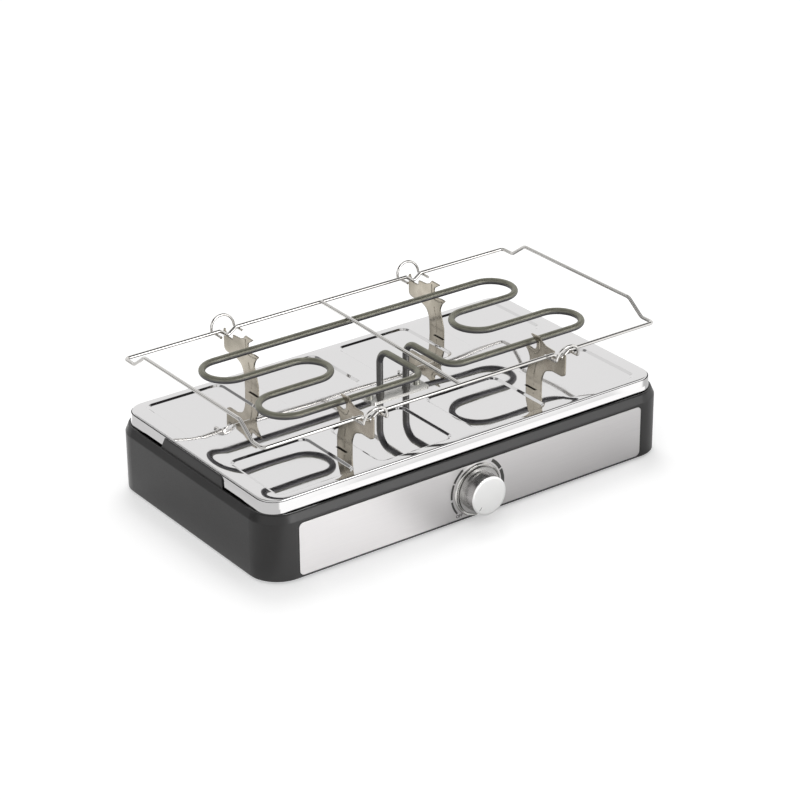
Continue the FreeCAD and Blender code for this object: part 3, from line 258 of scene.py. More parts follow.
def turnedCapAluminium():
    # aluminium disc, turned and anodised: faint rings about the knob's axis
    material, tree, shader, place = startMaterial("turnedAluminium")
    axis = spot(0, 0, knobHeight)
    centred = addNode(tree, "ShaderNodeMapping", {
        "Vector": place, "Location": (-axis.x, -axis.y, -axis.z), "Scale": (1, 0, 1)})
    reach = addNode(tree, "ShaderNodeVectorMath", {0: centred.outputs["Vector"]}, operation="LENGTH")
    rings = addNode(tree, "ShaderNodeTexNoise", {
        "W": reach.outputs["Value"], "Scale": capLook["ringsPerMetre"]}, noise_dimensions="1D").outputs["Fac"]
    setInputs(tree, shader, {
        "Base Color": linearColour(capLook["colour"]),
        "Metallic": capLook["metallic"],
        "Roughness": spread(tree, rings, *capLook["roughness"]),
        "Normal": bumpOf(tree, rings, capLook["ringDepth"], capLook["edgeMm"]),
    })
    return material


plainLook = {"shinier": 0.05, "duller": 0.08}


def plainFinish(name, dark, pale, roughness, metallic=0.0, sizeMm=3.0, depth=0.01):
    # for small and hidden pieces: two close tones in specks of the given size, over a slight relief
    material, tree, shader, place = startMaterial(name)
    speck = noiseField(tree, place, sizeMm, detail=3.0)
    setInputs(tree, shader, {
        "Base Color": ramp(tree, speck, [(noiseLow, dark), (noiseHigh, pale)]),
        "Metallic": metallic,
        "Roughness": spread(tree, speck, roughness - plainLook["shinier"], roughness + plainLook["duller"]),
        "Normal": bumpOf(tree, speck, depth),
    })
    return material


finishes = {
    "housing": mouldedHousingPlastic(),
    "panel": satinPanelSteel(),
    "tray": mirrorTraySteel(),
    "wire": chromePlate(),
    "bezel": chromePlate("chromedBezel", 0.1, "#cfcecb"),
    "flange": chromePlate("polishedFlange", 0.12, "#d4d3cf"),
    "heater": oxidisedHeaterTube(),
    "bracket": heatTintedBracketSteel(),
    "grip": lacqueredKnobPlastic(),
    "cap": turnedCapAluminium(),
    # bright zinc, slightly cloudy
    "zinc": plainFinish("zincPlate", "#9b9b96", "#c4c4bd", 0.28, 1.0),
    # zinc-dipped sheet with wide spangles
    "galvanised": plainFinish("galvanisedSheet", "#8f9192", "#b1b4b6", 0.4, 1.0, 9.0),
    # stamped brass, a little tarnished
    "brass": plainFinish("bareBrass", "#a8843f", "#c9a45a", 0.3, 1.0),
    # fired steatite: chalky off-white
    "ceramic": plainFinish("unglazedCeramic", "#d9d3c6", "#e6e1d6", 0.6, 0.0, 1.5),
    # moulded nylon: milky and slightly glossy
    "nylon": plainFinish("mouldedNylon", "#d6d5cf", "#e2e1dc", 0.45),
    # moulded nylon, dyed black: finely grained and slightly glossy
    "blackPlastic": plainFinish("blackNylon", "#161616", "#202020", 0.45, 0.0, 0.8),
    # moulded rubber: black and dull
    "rubber": plainFinish("mouldedRubber", "#141414", "#1d1d1d", 0.75, 0.0, 0.7, 0.03),
    # braided glass fibre sleeve: straw coloured and rough
    "sleeve": plainFinish("glassSleeve", "#b4a88c", "#cdc3aa", 0.7, 0.0, 0.6, 0.05),
    # screen-printed ink: flat dark grey
    "print": plainFinish("screenPrint", "#3d3c3a", "#474644", 0.5, 0.0, 1.0, 0.002),
    # aluminium, etched: matt grey against the turned cap
    "mark": plainFinish("etchedMark", "#a5a4a2", "#b5b4b2", 0.45, 1.0, 1.0, 0.002),
}
nodeFinish = {
    "housing": "housing", "bottom_plate": "galvanised", "bottom_screws": "zinc", "front_panel": "panel",
    "bezel_ring": "bezel", "knob_body": "grip", "knob_cap": "cap", "thermostat": "ceramic",
    "thermostat_shaft": "zinc", "thermostat_plate": "galvanised", "thermostat_screws": "zinc",
    "tray": "tray", "tray_nuts": "zinc", "heat_shield": "galvanised", "shield_rivets": "zinc",
    "heater": "heater", "heater_pins": "zinc", "heater_insulators": "ceramic", "heater_collars": "heater",
    "heater_flange": "flange", "flange_screws": "zinc", "flange_nuts": "zinc", "heater_connectors": "brass",
    "thermal_fuse": "brass", "fuse_clip": "galvanised", "terminal_block": "nylon", "block_screws": "zinc",
    "earth_screw": "zinc", "cord_inlet": "blackPlastic", "inlet_nut": "blackPlastic",
}
startFinish = {"foot_": "rubber", "bracket_": "bracket", "frame_": "wire", "hoop_": "wire", "wire_": "sleeve"}
for name, node in nodes.items():
    finish = nodeFinish.get(name) or next(f for start, f in startFinish.items() if name.startswith(start))
    node.data.materials.clear()
    node.data.materials.append(finishes[finish])
print("materials made:", len(finishes))


def newPiece(name, mesh, finish=None):
    piece = bpy.data.objects.new(name, mesh)
    bpy.context.scene.collection.objects.link(piece)
    if finish:
        mesh.materials.clear()
        mesh.materials.append(finishes[finish])
    return piece


def meshOf(name, points, faces=(), edges=()):
    mesh = bpy.data.meshes.new(name)
    mesh.from_pydata([tuple(p) for p in points], list(edges), list(faces))
    return mesh


def smooth(mesh, sharpAbove):  # edges that turn by more degrees than this stay sharp
    mesh.polygons.foreach_set("use_smooth", [True] * len(mesh.polygons))
    mesh.set_sharp_from_angle(angle=math.radians(sharpAbove))


def place(piece, body, slotName, *replaced):
    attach(piece, body)
    if replaced:
        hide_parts(*replaced)


def setBends(mesh, bends):  # each point's bend radius, in millimetres, which rounds the line there
    bend = mesh.attributes.new("bend", "FLOAT", "POINT")
    bend.data.foreach_set("value", [b / 1000 for b in bends])


def startTree(name, made, **sockets):  # the shape comes in first, and every tree ends in a finish
    tree = bpy.data.node_groups.new(name, "GeometryNodeTree")
    sockets["Finish"] = "Material"
    for label, kind in sockets.items():
        tree.interface.new_socket(name=label, in_out="INPUT", socket_type="NodeSocket" + kind)
    tree.interface.new_socket(name=made, in_out="OUTPUT", socket_type="NodeSocketGeometry")
    return tree, addNode(tree, "NodeGroupInput").outputs


def endTree(tree, given, made, geometry):  # real faces with their finish, not instances
    solid = addNode(tree, "GeometryNodeRealizeInstances", {"Geometry": geometry})
    dressed = addNode(tree, "GeometryNodeSetMaterial", {
        "Geometry": solid.outputs["Geometry"], "Material": given["Finish"]})
    addNode(tree, "NodeGroupOutput", {made: dressed.outputs["Geometry"]})
    return tree


def filletedLine(tree, line, steps):  # rounded at each point by the bends that setBends stored
    curve = addNode(tree, "GeometryNodeMeshToCurve", {"Mesh": line})
    bend = addNode(tree, "GeometryNodeInputNamedAttribute", {"Name": "bend"}, data_type="FLOAT")
    fillet = addNode(tree, "GeometryNodeFilletCurve", {
        "Curve": curve.outputs["Curve"], "Count": steps, "Radius": bend.outputs["Attribute"],
        "Limit Radius": True}, mode="POLY")
    return fillet.outputs["Curve"]


def applyNodes(piece, tree, values):
    modifier = piece.modifiers.new(tree.name, "NODES")
    modifier.node_group = tree
    for item in tree.interface.items_tree:
        if item.item_type == "SOCKET" and item.in_out == "INPUT" and item.name in values:
            modifier[item.identifier] = values[item.name]
    made = piece.evaluated_get(bpy.context.evaluated_depsgraph_get())
    mesh = bpy.data.meshes.new_from_object(made)
    piece.modifiers.clear()
    piece.data = mesh


# A line of points becomes a round rod, filleted at each point by that point's own bend radius.
def bentRodTree():
    tree, given = startTree("bentRod", "Rod", Line="Geometry", Radius="Float", Steps="Int", Sides="Int")
    line = filletedLine(tree, given["Line"], given["Steps"])
    ring = addNode(tree, "GeometryNodeCurvePrimitiveCircle", {
        "Resolution": given["Sides"], "Radius": given["Radius"]})
    rod = addNode(tree, "GeometryNodeCurveToMesh", {
        "Curve": line, "Profile Curve": ring.outputs["Curve"], "Fill Caps": True})
    shaded = addNode(tree, "GeometryNodeSetShadeSmooth", {"Geometry": rod.outputs["Mesh"]})
    return endTree(tree, given, "Rod", shaded.outputs["Geometry"])


bentRod = bentRodTree()


def rod(name, points, bends, radius, finish, sides, steps=10, closed=False):
    count = len(points)
    edges = [(i, i + 1) for i in range(count - 1)] + ([(count - 1, 0)] if closed else [])
    mesh = meshOf(name, [spot(*p) for p in points], edges=edges)
    setBends(mesh, bends)
    piece = newPiece(name, mesh)
    applyNodes(piece, bentRod, {
        "Radius": radius / 1000, "Steps": steps, "Sides": sides, "Finish": finishes[finish]})
    smooth(piece.data, sharpAbove=60)
    return piece


# The heater is one tube from lead to lead: out to the front, in and out again, and along the rear.
heater = {"radius": 3.25, "level": 127.3, "leadX": 15.2, "leadBend": 14, "frontBend": 15,
          "outerRow": 71, "rearRow": 24, "rearTurnX": 153.8, "innerTurn": 74.8, "foot": 66,
          "left": {"frontTurn": 151.5, "frontRow": 21.5}, "right": {"frontTurn": 160.2, "frontRow": 26},
          "sides": 28, "bendSteps": 16}


def heaterHalf(side, shape):
    outerRow, rearRow, frontRow = heater["outerRow"], heater["rearRow"], shape["frontRow"]
    frontBend, rearBend = (outerRow - frontRow) / 2, (outerRow - rearRow) / 2
    middleBend = (rearRow + frontRow) / 2
    lead, inner, level = side * heater["leadX"], side * heater["innerTurn"], heater["level"]
    front, rear = side * (shape["frontTurn"] + frontBend), side * (heater["rearTurnX"] + rearBend)
    points = [(lead, 0, heater["foot"]), (lead, 0, level), (lead, -outerRow, level),
              (front, -outerRow, level), (front, -frontRow, level), (inner, -frontRow, level),
              (inner, rearRow, level), (rear, rearRow, level), (rear, outerRow, level)]
    bends = [0, heater["leadBend"], heater["frontBend"], frontBend, frontBend, middleBend, middleBend,
             rearBend, rearBend]
    return points, bends


leftPoints, leftBends = heaterHalf(-1, heater["left"])
rightPoints, rightBends = heaterHalf(1, heater["right"])
tube = rod("heaterTube", leftPoints + rightPoints[::-1], leftBends + rightBends[::-1], heater["radius"],
           "heater", sides=heater["sides"], steps=heater["bendSteps"])
place(tube, "base", "heater_oxide", "heater")
print("heater made")

# The frame is a closed loop of wire with raised ends and a dip at each bracket, a cross wire and
# a hoop over each dip.
wireFrame = {"radius": 1.8, "level": 132.3, "x": 221.9, "y": 115.5, "corner": 4, "rise": 14,
             "run": 12.5, "slope": 19, "endBend": 9, "dipX": 109.3, "dipHalf": 9, "dipDepth": 6.3,
             "dipBend": 3.5, "crossFront": -8, "crossBack": -2, "crossLift": 0.4, "crossShort": 0.6,
             "sides": 20, "bendSteps": 8}
hoop = {"radius": 1.4, "width": 12.6, "y": 124.5, "top": 144, "lean": 2.5, "tailY": 107.5,
        "tailBend": 1.6, "weld": 0.2, "sides": 16, "bendSteps": 12}


def dips(along, direction):  # the front or rear wire's two dips, in the loop's order
    w = wireFrame
    points, bends = [], []
    for dipX in (-w["dipX"] * direction, w["dipX"] * direction):
        for step, drop in ((-1, 0), (0, w["dipDepth"]), (1, 0)):
            points.append((dipX + direction * step * w["dipHalf"], along * w["y"], w["level"] - drop))
            bends.append(w["dipBend"])
    return points, bends


def raisedEnd(side):  # its bends are the same from either end
    w = wireFrame
    foot = w["y"] - w["corner"] - w["run"]
    top = foot - w["slope"]
    ys = [-w["y"], -foot, -top, top, foot, w["y"]]
    levels = [0, 0, w["rise"], w["rise"], 0, 0]
    points = [(side * w["x"], y, w["level"] + rise) for y, rise in zip(ys, levels)]
    bends = [w["corner"]] + [w["endBend"]] * 4 + [w["corner"]]
    return points, bends


frontPoints, frontBends = dips(-1, 1)
rightEnd, endBends = raisedEnd(1)
rearPoints, rearBends = dips(1, -1)
leftEnd = raisedEnd(-1)[0][::-1]
loopPoints = frontPoints + rightEnd + rearPoints + leftEnd
loopBends = frontBends + endBends + rearBends + endBends
loop = rod("frameLoop", loopPoints, loopBends, wireFrame["radius"], "wire", closed=True,
           sides=wireFrame["sides"], steps=wireFrame["bendSteps"])
place(loop, "wire_frame", "frame_chrome", "frame_wire_front", "frame_wire_rear", "frame_end_left",
      "frame_end_right")
crossEnd = wireFrame["y"] - wireFrame["crossShort"]
crossLevel = wireFrame["level"] + wireFrame["crossLift"]
crossPoints = [(wireFrame["crossFront"], -crossEnd, crossLevel),
               (wireFrame["crossBack"], crossEnd, crossLevel)]
cross = rod("frameCross", crossPoints, [0, 0], wireFrame["radius"], "wire", sides=wireFrame["sides"])
place(cross, "wire_frame", "frame_chrome", "frame_cross_wire")


def makeHoop(side, sideName, along, alongName):
    near, far = [side * wireFrame["dipX"] + step * hoop["width"] for step in (-1, 1)]
    low = wireFrame["level"] - wireFrame["radius"] - hoop["radius"] + hoop["weld"]
    high = hoop["top"] - hoop["radius"]
    tail, foot, top = along * hoop["tailY"], along * hoop["y"], along * (hoop["y"] + hoop["lean"])
    points = [(near, tail, low), (near, foot, low), (near, top, high),
              (far, top, high), (far, foot, low), (far, tail, low)]
    bends = [0, hoop["tailBend"], hoop["width"], hoop["width"], hoop["tailBend"], 0]
    piece = rod("liftHoop.%s.%s" % (alongName, sideName), points, bends, hoop["radius"], "wire",
                sides=hoop["sides"], steps=hoop["bendSteps"])
    place(piece, "wire_frame", "frame_chrome", "hoop_%s_%s" % (alongName, sideName))


corners = [(side, sideName, along, alongName) for side, sideName in ((-1, "left"), (1, "right"))
           for along, alongName in ((-1, "front"), (1, "rear"))]
for corner in corners:
    makeHoop(*corner)
print("wire frame made")


# The tray is a plate with a hanging skirt, eight sunk fields and a slot for each bracket.
# Curves say how far from a corner the skirt starts and stops rising, flare how far it leans out
# for each millimetre down. The wall shape is a field's wall from its rim inward, as shares of
# its width and depth.
tray = {"top": 80, "sheet": 0.8, "edge": 1.2, "edgeSteps": 5, "corner": 18, "pointEvery": 4,
        "sharpAbove": 50, "columns": 4,
        "skirtFoot": 64.3, "frontGap": 68, "frontCurve": (25, 56), "frontBand": 2,
        "sideGap": 69.2, "sideCurve": (6, 42), "flare": 0.17,
        "pitch": 109.3, "rowY": 71.85, "field": (85.3, 84.1), "fieldCorner": 10, "wall": 3.2,
        "recess": 1.4, "wallShape": [(0, 0), (0.05, 0.01), (0.12, 0.058), (0.16, 0.105),
                                     (0.84, 0.895), (0.88, 0.942), (0.95, 0.99), (1, 1)],
        "slot": (3.0, 16), "slotCorner": 0.7, "slotSteps": 3, "slotSide": -0.6, "slotY": 72.4}
trayLow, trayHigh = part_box("tray")
trayHalfX = (trayHigh.x - trayLow.x) * 500
trayHalfY = (trayHigh.y - trayLow.y) * 500


def roundedLoop(halfX, halfY, corner, arcSteps=10, runStep=None, middle=(0, 0)):
    points = []
    for turn, (signX, signY) in enumerate(((1, -1), (1, 1), (-1, 1), (-1, -1))):
        centreX, centreY = signX * (halfX - corner), signY * (halfY - corner)
        for step in range(arcSteps + 1):
            angle = math.radians(90 * (turn - 1) + 90 * step / arcSteps)
            points.append((centreX + corner * math.cos(angle), centreY + corner * math.sin(angle)))
        if runStep:
            run = 2 * ((halfY if turn % 2 == 0 else halfX) - corner)
            count = round(run / runStep)
            lastX, lastY = points[-1]
            stepX, stepY = [(0, 1), (-1, 0), (0, -1), (1, 0)][turn]
            points += [(lastX + stepX * run * i / count, lastY + stepY * run * i / count)
                       for i in range(1, count)]
    return [(x + middle[0], y + middle[1]) for x, y in points]


def ringFaces(start, count):
    return [(start + i, start + (i + 1) % count, start + count + (i + 1) % count, start + count + i)
            for i in range(count)]


def skirtBottom(x, y):  # lowest at the corners, higher along the middle of each side
    alongFront = abs(y) > trayHalfY - tray["frontBand"]
    fromEnd = (trayHalfX - abs(x)) if alongFront else (trayHalfY - abs(y))
    near, far = tray["frontCurve"] if alongFront else tray["sideCurve"]
    gap = tray["frontGap"] if alongFront else tray["sideGap"]
    rise = min(max((fromEnd - near) / (far - near), 0), 1)
    return tray["skirtFoot"] + (gap - tray["skirtFoot"]) * rise * rise * (3 - 2 * rise)


def flared(x, y, reach):  # a point of the skirt's outline moved straight outward
    middleX, middleY = trayHalfX - tray["corner"], trayHalfY - tray["corner"]
    out = Vector((max(abs(x) - middleX, 0), max(abs(y) - middleY, 0))).normalized() * reach
    return x + math.copysign(out.x, x), y + math.copysign(out.y, y)


def fillBetween(mesh, loops):  # the flat top between the rim and the holes
    shape = bmesh.new()
    shape.from_mesh(mesh)
    edges = []
    for loop in loops:
        points = [shape.verts.new(spot(x, y, tray["top"])) for x, y in loop]
        edges += [shape.edges.new((points[i], points[(i + 1) % len(points)])) for i in range(len(points))]
    made = bmesh.ops.triangle_fill(shape, use_beauty=True, edges=edges, normal=Vector((0, 0, 1)))
    for face in made["geom"]:
        if isinstance(face, bmesh.types.BMFace):
            if face.normal.z < 0:
                face.normal_flip()
            face.smooth = False
    bmesh.ops.remove_doubles(shape, verts=shape.verts, dist=weldDistance)
    shape.to_mesh(mesh)
    shape.free()


def makeTray():
    rows = []
    for step in range(tray["edgeSteps"] + 1):
        angle = math.radians(90 * step / tray["edgeSteps"])
        inset = tray["edge"] * (1 - math.sin(angle))
        level = tray["top"] - tray["edge"] * (1 - math.cos(angle))
        loop = roundedLoop(trayHalfX - inset, trayHalfY - inset, tray["corner"] - inset,
                           runStep=tray["pointEvery"])
        rows.append([(x, y, level) for x, y in loop])
    outer = rows[-1]
    lowest = []
    for x, y, level in outer:
        foot = skirtBottom(x, y)
        lowest.append((foot, (level - foot) * tray["flare"]))
    sheet = tray["sheet"]
    for inset in (0, sheet):
        rows.append([(*flared(x, y, reach - inset), foot) for (x, y, _), (foot, reach) in zip(outer, lowest)])
    rows.append([(*flared(x, y, -sheet), tray["top"] - 2 * sheet) for x, y, _ in outer])
    count = len(outer)
    points = [spot(*p) for row in rows for p in row]
    faces = [face[::-1] for i in range(len(rows) - 1) for face in ringFaces(i * count, count)]
    mesh = meshOf("trayPlate", points, faces)
    mesh.polygons.foreach_set("use_smooth", [True] * len(mesh.polygons))
    middleColumn = (tray["columns"] - 1) / 2
    holes = [roundedLoop(tray["field"][0] / 2, tray["field"][1] / 2, tray["fieldCorner"],
                         middle=((column - middleColumn) * tray["pitch"], row * tray["rowY"]))
             for column in range(tray["columns"]) for row in (-1, 1)]
    for side, _, along, _ in corners:
        middle = (side * tray["pitch"] + tray["slotSide"], along * tray["slotY"])
        holes.append(roundedLoop(tray["slot"][0] / 2, tray["slot"][1] / 2, tray["slotCorner"],
                                 tray["slotSteps"], middle=middle))
    rim = [(x, y) for x, y, _ in rows[0]]
    fillBetween(mesh, [rim] + holes)
    mesh.set_sharp_from_angle(angle=math.radians(tray["sharpAbove"]))
    place(newPiece("trayPlate", mesh, "tray"), "base", "tray_steel", "tray")


# One pressed field (its sloped wall and floor) is set out on a grid of four by two.
def fieldGridTree():
    tree, given = startTree("fieldGrid", "Fields", Field="Geometry", Columns="Int", Rows="Int",
                            Length="Float", Width="Float", Middle="Vector")
    grid = addNode(tree, "GeometryNodeMeshGrid", {
        "Size X": given["Length"], "Size Y": given["Width"],
        "Vertices X": given["Columns"], "Vertices Y": given["Rows"]})
    moved = addNode(tree, "GeometryNodeTransform", {
        "Geometry": grid.outputs["Mesh"], "Translation": given["Middle"]})
    points = addNode(tree, "GeometryNodeMeshToPoints", {"Mesh": moved.outputs["Geometry"]})
    copies = addNode(tree, "GeometryNodeInstanceOnPoints", {
        "Points": points.outputs["Points"], "Instance": given["Field"]})
    return endTree(tree, given, "Fields", copies.outputs["Instances"])


def makeFields():
    halfX, halfY = tray["field"][0] / 2, tray["field"][1] / 2
    rows = []
    for along, sunk in tray["wallShape"]:
        inset = tray["wall"] * along
        loop = roundedLoop(halfX - inset, halfY - inset, tray["fieldCorner"] - inset)
        rows.append([(x / 1000, y / 1000, -tray["recess"] * sunk / 1000) for x, y in loop])
    steps = len(rows) - 1
    count = len(rows[0])
    faces = [face for i in range(steps) for face in ringFaces(i * count, count)]
    walls = len(faces)
    faces.append(tuple(range(steps * count, (steps + 1) * count)))
    mesh = meshOf("trayFields", [p for row in rows for p in row], faces)
    mesh.polygons.foreach_set("use_smooth", [i < walls for i in range(len(faces))])
    piece = newPiece("trayFields", mesh)
    applyNodes(piece, fieldGridTree(), {
        "Columns": tray["columns"], "Rows": 2, "Length": (tray["columns"] - 1) * tray["pitch"] / 1000,
        "Width": 2 * tray["rowY"] / 1000, "Middle": spot(0, 0, tray["top"]), "Finish": finishes["tray"]})
    place(piece, "base", "tray_steel", "tray")


makeTray()
makeFields()
print("tray made")


# A flat outline with a bend radius at each point is filleted, filled, given its thickness and
# turned upright.
def sheetBlankTree():
    tree, given = startTree("sheetBlank", "Sheet", Outline="Geometry", Thickness="Float", Steps="Int",
                            Middle="Vector")
    outline = filletedLine(tree, given["Outline"], given["Steps"])
    face = addNode(tree, "GeometryNodeFillCurve", {"Curve": outline}, mode="NGONS")
    thick = addNode(tree, "GeometryNodeExtrudeMesh", {
        "Mesh": face.outputs["Mesh"], "Offset Scale": given["Thickness"], "Individual": False})
    back = addNode(tree, "GeometryNodeFlipFaces", {"Mesh": face.outputs["Mesh"]})
    both = addNode(tree, "GeometryNodeJoinGeometry")
    tree.links.new(thick.outputs["Mesh"], both.inputs["Geometry"])
    tree.links.new(back.outputs["Mesh"], both.inputs["Geometry"])
    closed = addNode(tree, "GeometryNodeMergeByDistance", {
        "Geometry": both.outputs["Geometry"], "Distance": weldDistance})
    upright = addNode(tree, "GeometryNodeTransform", {
        "Geometry": closed.outputs["Geometry"], "Translation": given["Middle"],
        "Rotation": (math.pi / 2, 0, math.pi / 2)})
    return endTree(tree, given, "Sheet", upright.outputs["Geometry"])


# Outward reach from the middle, height and bend radius of each point. The bead and the rib are
# pressed lines, which show on both faces.
bracket = {"thickness": 1.2, "bendSteps": 6, "beadSunk": 0.35, "beadSides": 12,
           "outline": [(65, 78, 0), (65, 91, 12), (68.2, 101.5, 16), (71.3, 110, 9), (67.5, 117, 6),
                       (62.2, 121.9, 0.5), (70, 122.3, 5), (76.5, 121, 6), (80.3, 124.5, 4), (80.2, 130, 3),
                       (71, 136, 0.4), (84.6, 136.6, 1.5), (87.2, 133.2, 5), (93.5, 130.4, 8),
                       (106, 129.8, 1), (106.6, 124.8, 1), (117.6, 124.8, 1), (120.4, 132.3, 1),
                       (122.6, 130.3, 3), (122.3, 110.2, 4), (117.4, 108.2, 6), (104, 108.4, 8),
                       (92, 104.5, 12), (88.3, 94, 16), (87.7, 78, 0)]}
bracketBead = {"radius": 0.9, "points": [(67.4, 119.4, 0), (73, 118.2, 5), (80.5, 117.6, 6),
                                         (84.5, 124, 6), (84.3, 132.6, 0)]}
bracketRib = {"radius": 0.8, "points": [(76.5, 84, 0), (76.8, 96, 20), (80.2, 110, 0)]}
sheetBlank = sheetBlankTree()


def makeBracket(side, sideName, along, alongName):
    name, corner = "bracket_%s_%s" % (alongName, sideName), "%s.%s" % (alongName, sideName)
    count = len(bracket["outline"])
    points = [(along * u / 1000, z / 1000, 0) for u, z, _ in bracket["outline"]]
    mesh = meshOf(name, points, edges=[(i, (i + 1) % count) for i in range(count)])
    setBends(mesh, [b for _, _, b in bracket["outline"]])
    piece = newPiece("bracketSheet." + corner, mesh)
    middleX, half = side * tray["pitch"], bracket["thickness"] / 2
    applyNodes(piece, sheetBlank, {
        "Thickness": bracket["thickness"] / 1000, "Steps": bracket["bendSteps"],
        "Middle": spot(middleX - half, 0, 0), "Finish": finishes["bracket"]})
    smooth(piece.data, sharpAbove=30)
    place(piece, "base", "bracket_steel", name)
    for detail, label in ((bracketBead, "bead"), (bracketRib, "rib")):
        for faceSide in (-1, 1):
            x = middleX + faceSide * (half - bracket["beadSunk"])
            line = [(x, along * u, z) for u, z, _ in detail["points"]]
            strip = rod(label + "." + corner, line, [b for _, _, b in detail["points"]], detail["radius"],
                        "bracket", sides=bracket["beadSides"])
            place(strip, "base", "bracket_steel")


for corner in corners:
    makeBracket(*corner)
print("brackets made")

# The dial is printed on the panel, round the bezel ring and the knob.
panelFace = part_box("front_panel")[0].y * 1000 - midY
# The bars' ends are in degrees and go clockwise, growing from thin to thick.
dial = {"radius": 29.6, "thin": 1.9, "thick": 4.0, "from": 219, "to": -39, "lift": 0.04,
        "bars": [(219, 190), (185, 156), (153, 124.5), (55.5, 27), (24, -5), (-10, -39)], "barSteps": 10,
        "word": (-20.8, 8.3), "wordHeight": 3.1, "capitals": 1.4, "wordBold": 0.12}


def makeDial():
    points, faces = [], []
    y = panelFace - dial["lift"]
    steps = dial["barSteps"]
    for first, last in dial["bars"]:
        start = len(points)
        for step in range(steps + 1):
            degrees = first + (last - first) * step / steps
            along = (dial["from"] - degrees) / (dial["from"] - dial["to"])
            half = (dial["thin"] + (dial["thick"] - dial["thin"]) * along) / 2
            for radius in (dial["radius"] - half, dial["radius"] + half):
                angle = math.radians(degrees)
                points.append(spot(radius * math.cos(angle), y, knobHeight + radius * math.sin(angle)))
        faces += [(start + 2 * i, start + 2 * i + 1, start + 2 * i + 3, start + 2 * i + 2)[::-1]
                  for i in range(steps)]
    bars = newPiece("dialBars", meshOf("dialBars", points, faces), "print")
    faceOut(bars)
    place(bars, "base", "panel_steel")
    text = bpy.data.curves.new("dialWord", "FONT")
    text.body = "OFF"
    text.size = dial["wordHeight"] * dial["capitals"] / 1000
    text.offset = dial["wordBold"] / 1000
    text.align_x, text.align_y = "CENTER", "CENTER"
    holder = bpy.data.objects.new("dialWord", text)
    bpy.context.scene.collection.objects.link(holder)
    word = newPiece("dialOff", bpy.data.meshes.new_from_object(holder), "print")
    bpy.data.objects.remove(holder)
    turn = Matrix.Rotation(math.pi / 2, 4, "X")
    word.data.transform(Matrix.Translation(spot(dial["word"][0], y, dial["word"][1])) @ turn)
    faceOut(word)
    place(word, "base", "panel_steel")


def faceOut(piece):
    for face in piece.data.polygons:
        if face.normal.y > 0:
            face.flip()


# Ridges set round a ring, each turned to the middle.
def knurlTree():
    tree, given = startTree("knurl", "Knurl", Ridge="Geometry", Count="Int", Radius="Float", Middle="Vector")
    ring = addNode(tree, "GeometryNodeMeshCircle", {"Vertices": given["Count"], "Radius": given["Radius"]})
    points = addNode(tree, "GeometryNodeMeshToPoints", {"Mesh": ring.outputs["Mesh"]})
    position = addNode(tree, "GeometryNodeInputPosition")
    turned = addNode(tree, "FunctionNodeAlignRotationToVector", {"Vector": position.outputs["Position"]},
                     axis="X", pivot_axis="Z")
    copies = addNode(tree, "GeometryNodeInstanceOnPoints", {
        "Points": points.outputs["Points"], "Instance": given["Ridge"],
        "Rotation": turned.outputs["Rotation"]})
    facing = addNode(tree, "GeometryNodeTransform", {
        "Geometry": copies.outputs["Instances"], "Translation": given["Middle"],
        "Rotation": (math.pi / 2, 0, 0)})
    return endTree(tree, given, "Knurl", facing.outputs["Geometry"])


def turnedAboutKnob(name, profile, finish, sides):
    points = []
    for radius, reach in profile:
        for step in range(sides):
            angle = 2 * math.pi * step / sides
            points.append(spot(radius * math.cos(angle), panelFace - reach,
                               knobHeight + radius * math.sin(angle)))
    faces = [face for i in range(len(profile) - 1) for face in ringFaces(i * sides, sides)]
    piece = newPiece(name, meshOf(name, points, faces), finish)
    shape = bmesh.new()
    shape.from_mesh(piece.data)
    bmesh.ops.recalc_face_normals(shape, faces=shape.faces)
    shape.to_mesh(piece.data)
    shape.free()
    smooth(piece.data, sharpAbove=35)
    return piece


# Radius and reach before the panel of each point of the ring's section, from outside to inside.
bezel = {"profile": [(26.2, 0), (26.2, 0.7), (26, 1), (25.5, 1.7), (25.3, 1.8), (25.05, 1.7), (25, 1.4),
                     (23.9, 1.4), (23.8, 1.9), (23.6, 2.1), (23.4, 1.9), (23.4, 0)],
         "sides": 96, "knurls": 96, "knurlRadius": 24.3, "knurlReach": 1.4, "ridge": (1.3, 0.9, 0.5)}


def makeBezel():
    ring = turnedAboutKnob("bezelRing", bezel["profile"], "bezel", bezel["sides"])
    place(ring, "base", "bezel_chrome", "bezel_ring")
    depth, width, height = [size / 2000 for size in bezel["ridge"]]  # halves, in metres
    points = [(-depth, -width, 0), (depth, -width, 0), (depth, width, 0), (-depth, width, 0),
              (-depth, 0, 2 * height), (depth, 0, 2 * height)]
    ridge = meshOf("ridge", points, [(0, 3, 2, 1), (0, 1, 5, 4), (3, 4, 5, 2), (0, 4, 3), (1, 2, 5)])
    piece = newPiece("bezelKnurl", ridge)
    applyNodes(piece, knurlTree(), {
        "Count": bezel["knurls"], "Radius": bezel["knurlRadius"] / 1000,
        "Middle": spot(0, panelFace - bezel["knurlReach"], knobHeight), "Finish": finishes["bezel"]})
    place(piece, "base", "bezel_chrome")


knobMark = {"degrees": 226, "from": 12.5, "to": 16.5, "width": 0.9, "lift": 0.02}


def makeKnobMark():
    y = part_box("knob_cap")[0].y * 1000 - midY - knobMark["lift"]
    angle = math.radians(knobMark["degrees"])
    outward = Vector((math.cos(angle), 0, math.sin(angle)))
    across = Vector((-math.sin(angle), 0, math.cos(angle))) * knobMark["width"] / 2
    middle = Vector((0, y, knobHeight))
    inner, outer = middle + outward * knobMark["from"], middle + outward * knobMark["to"]
    points = [spot(*p) for p in (inner - across, outer - across, outer + across, inner + across)]
    mark = newPiece("knobMark", meshOf("knobMark", points, [(0, 1, 2, 3)]), "mark")
    faceOut(mark)
    place(mark, "knob", "cap_steel")


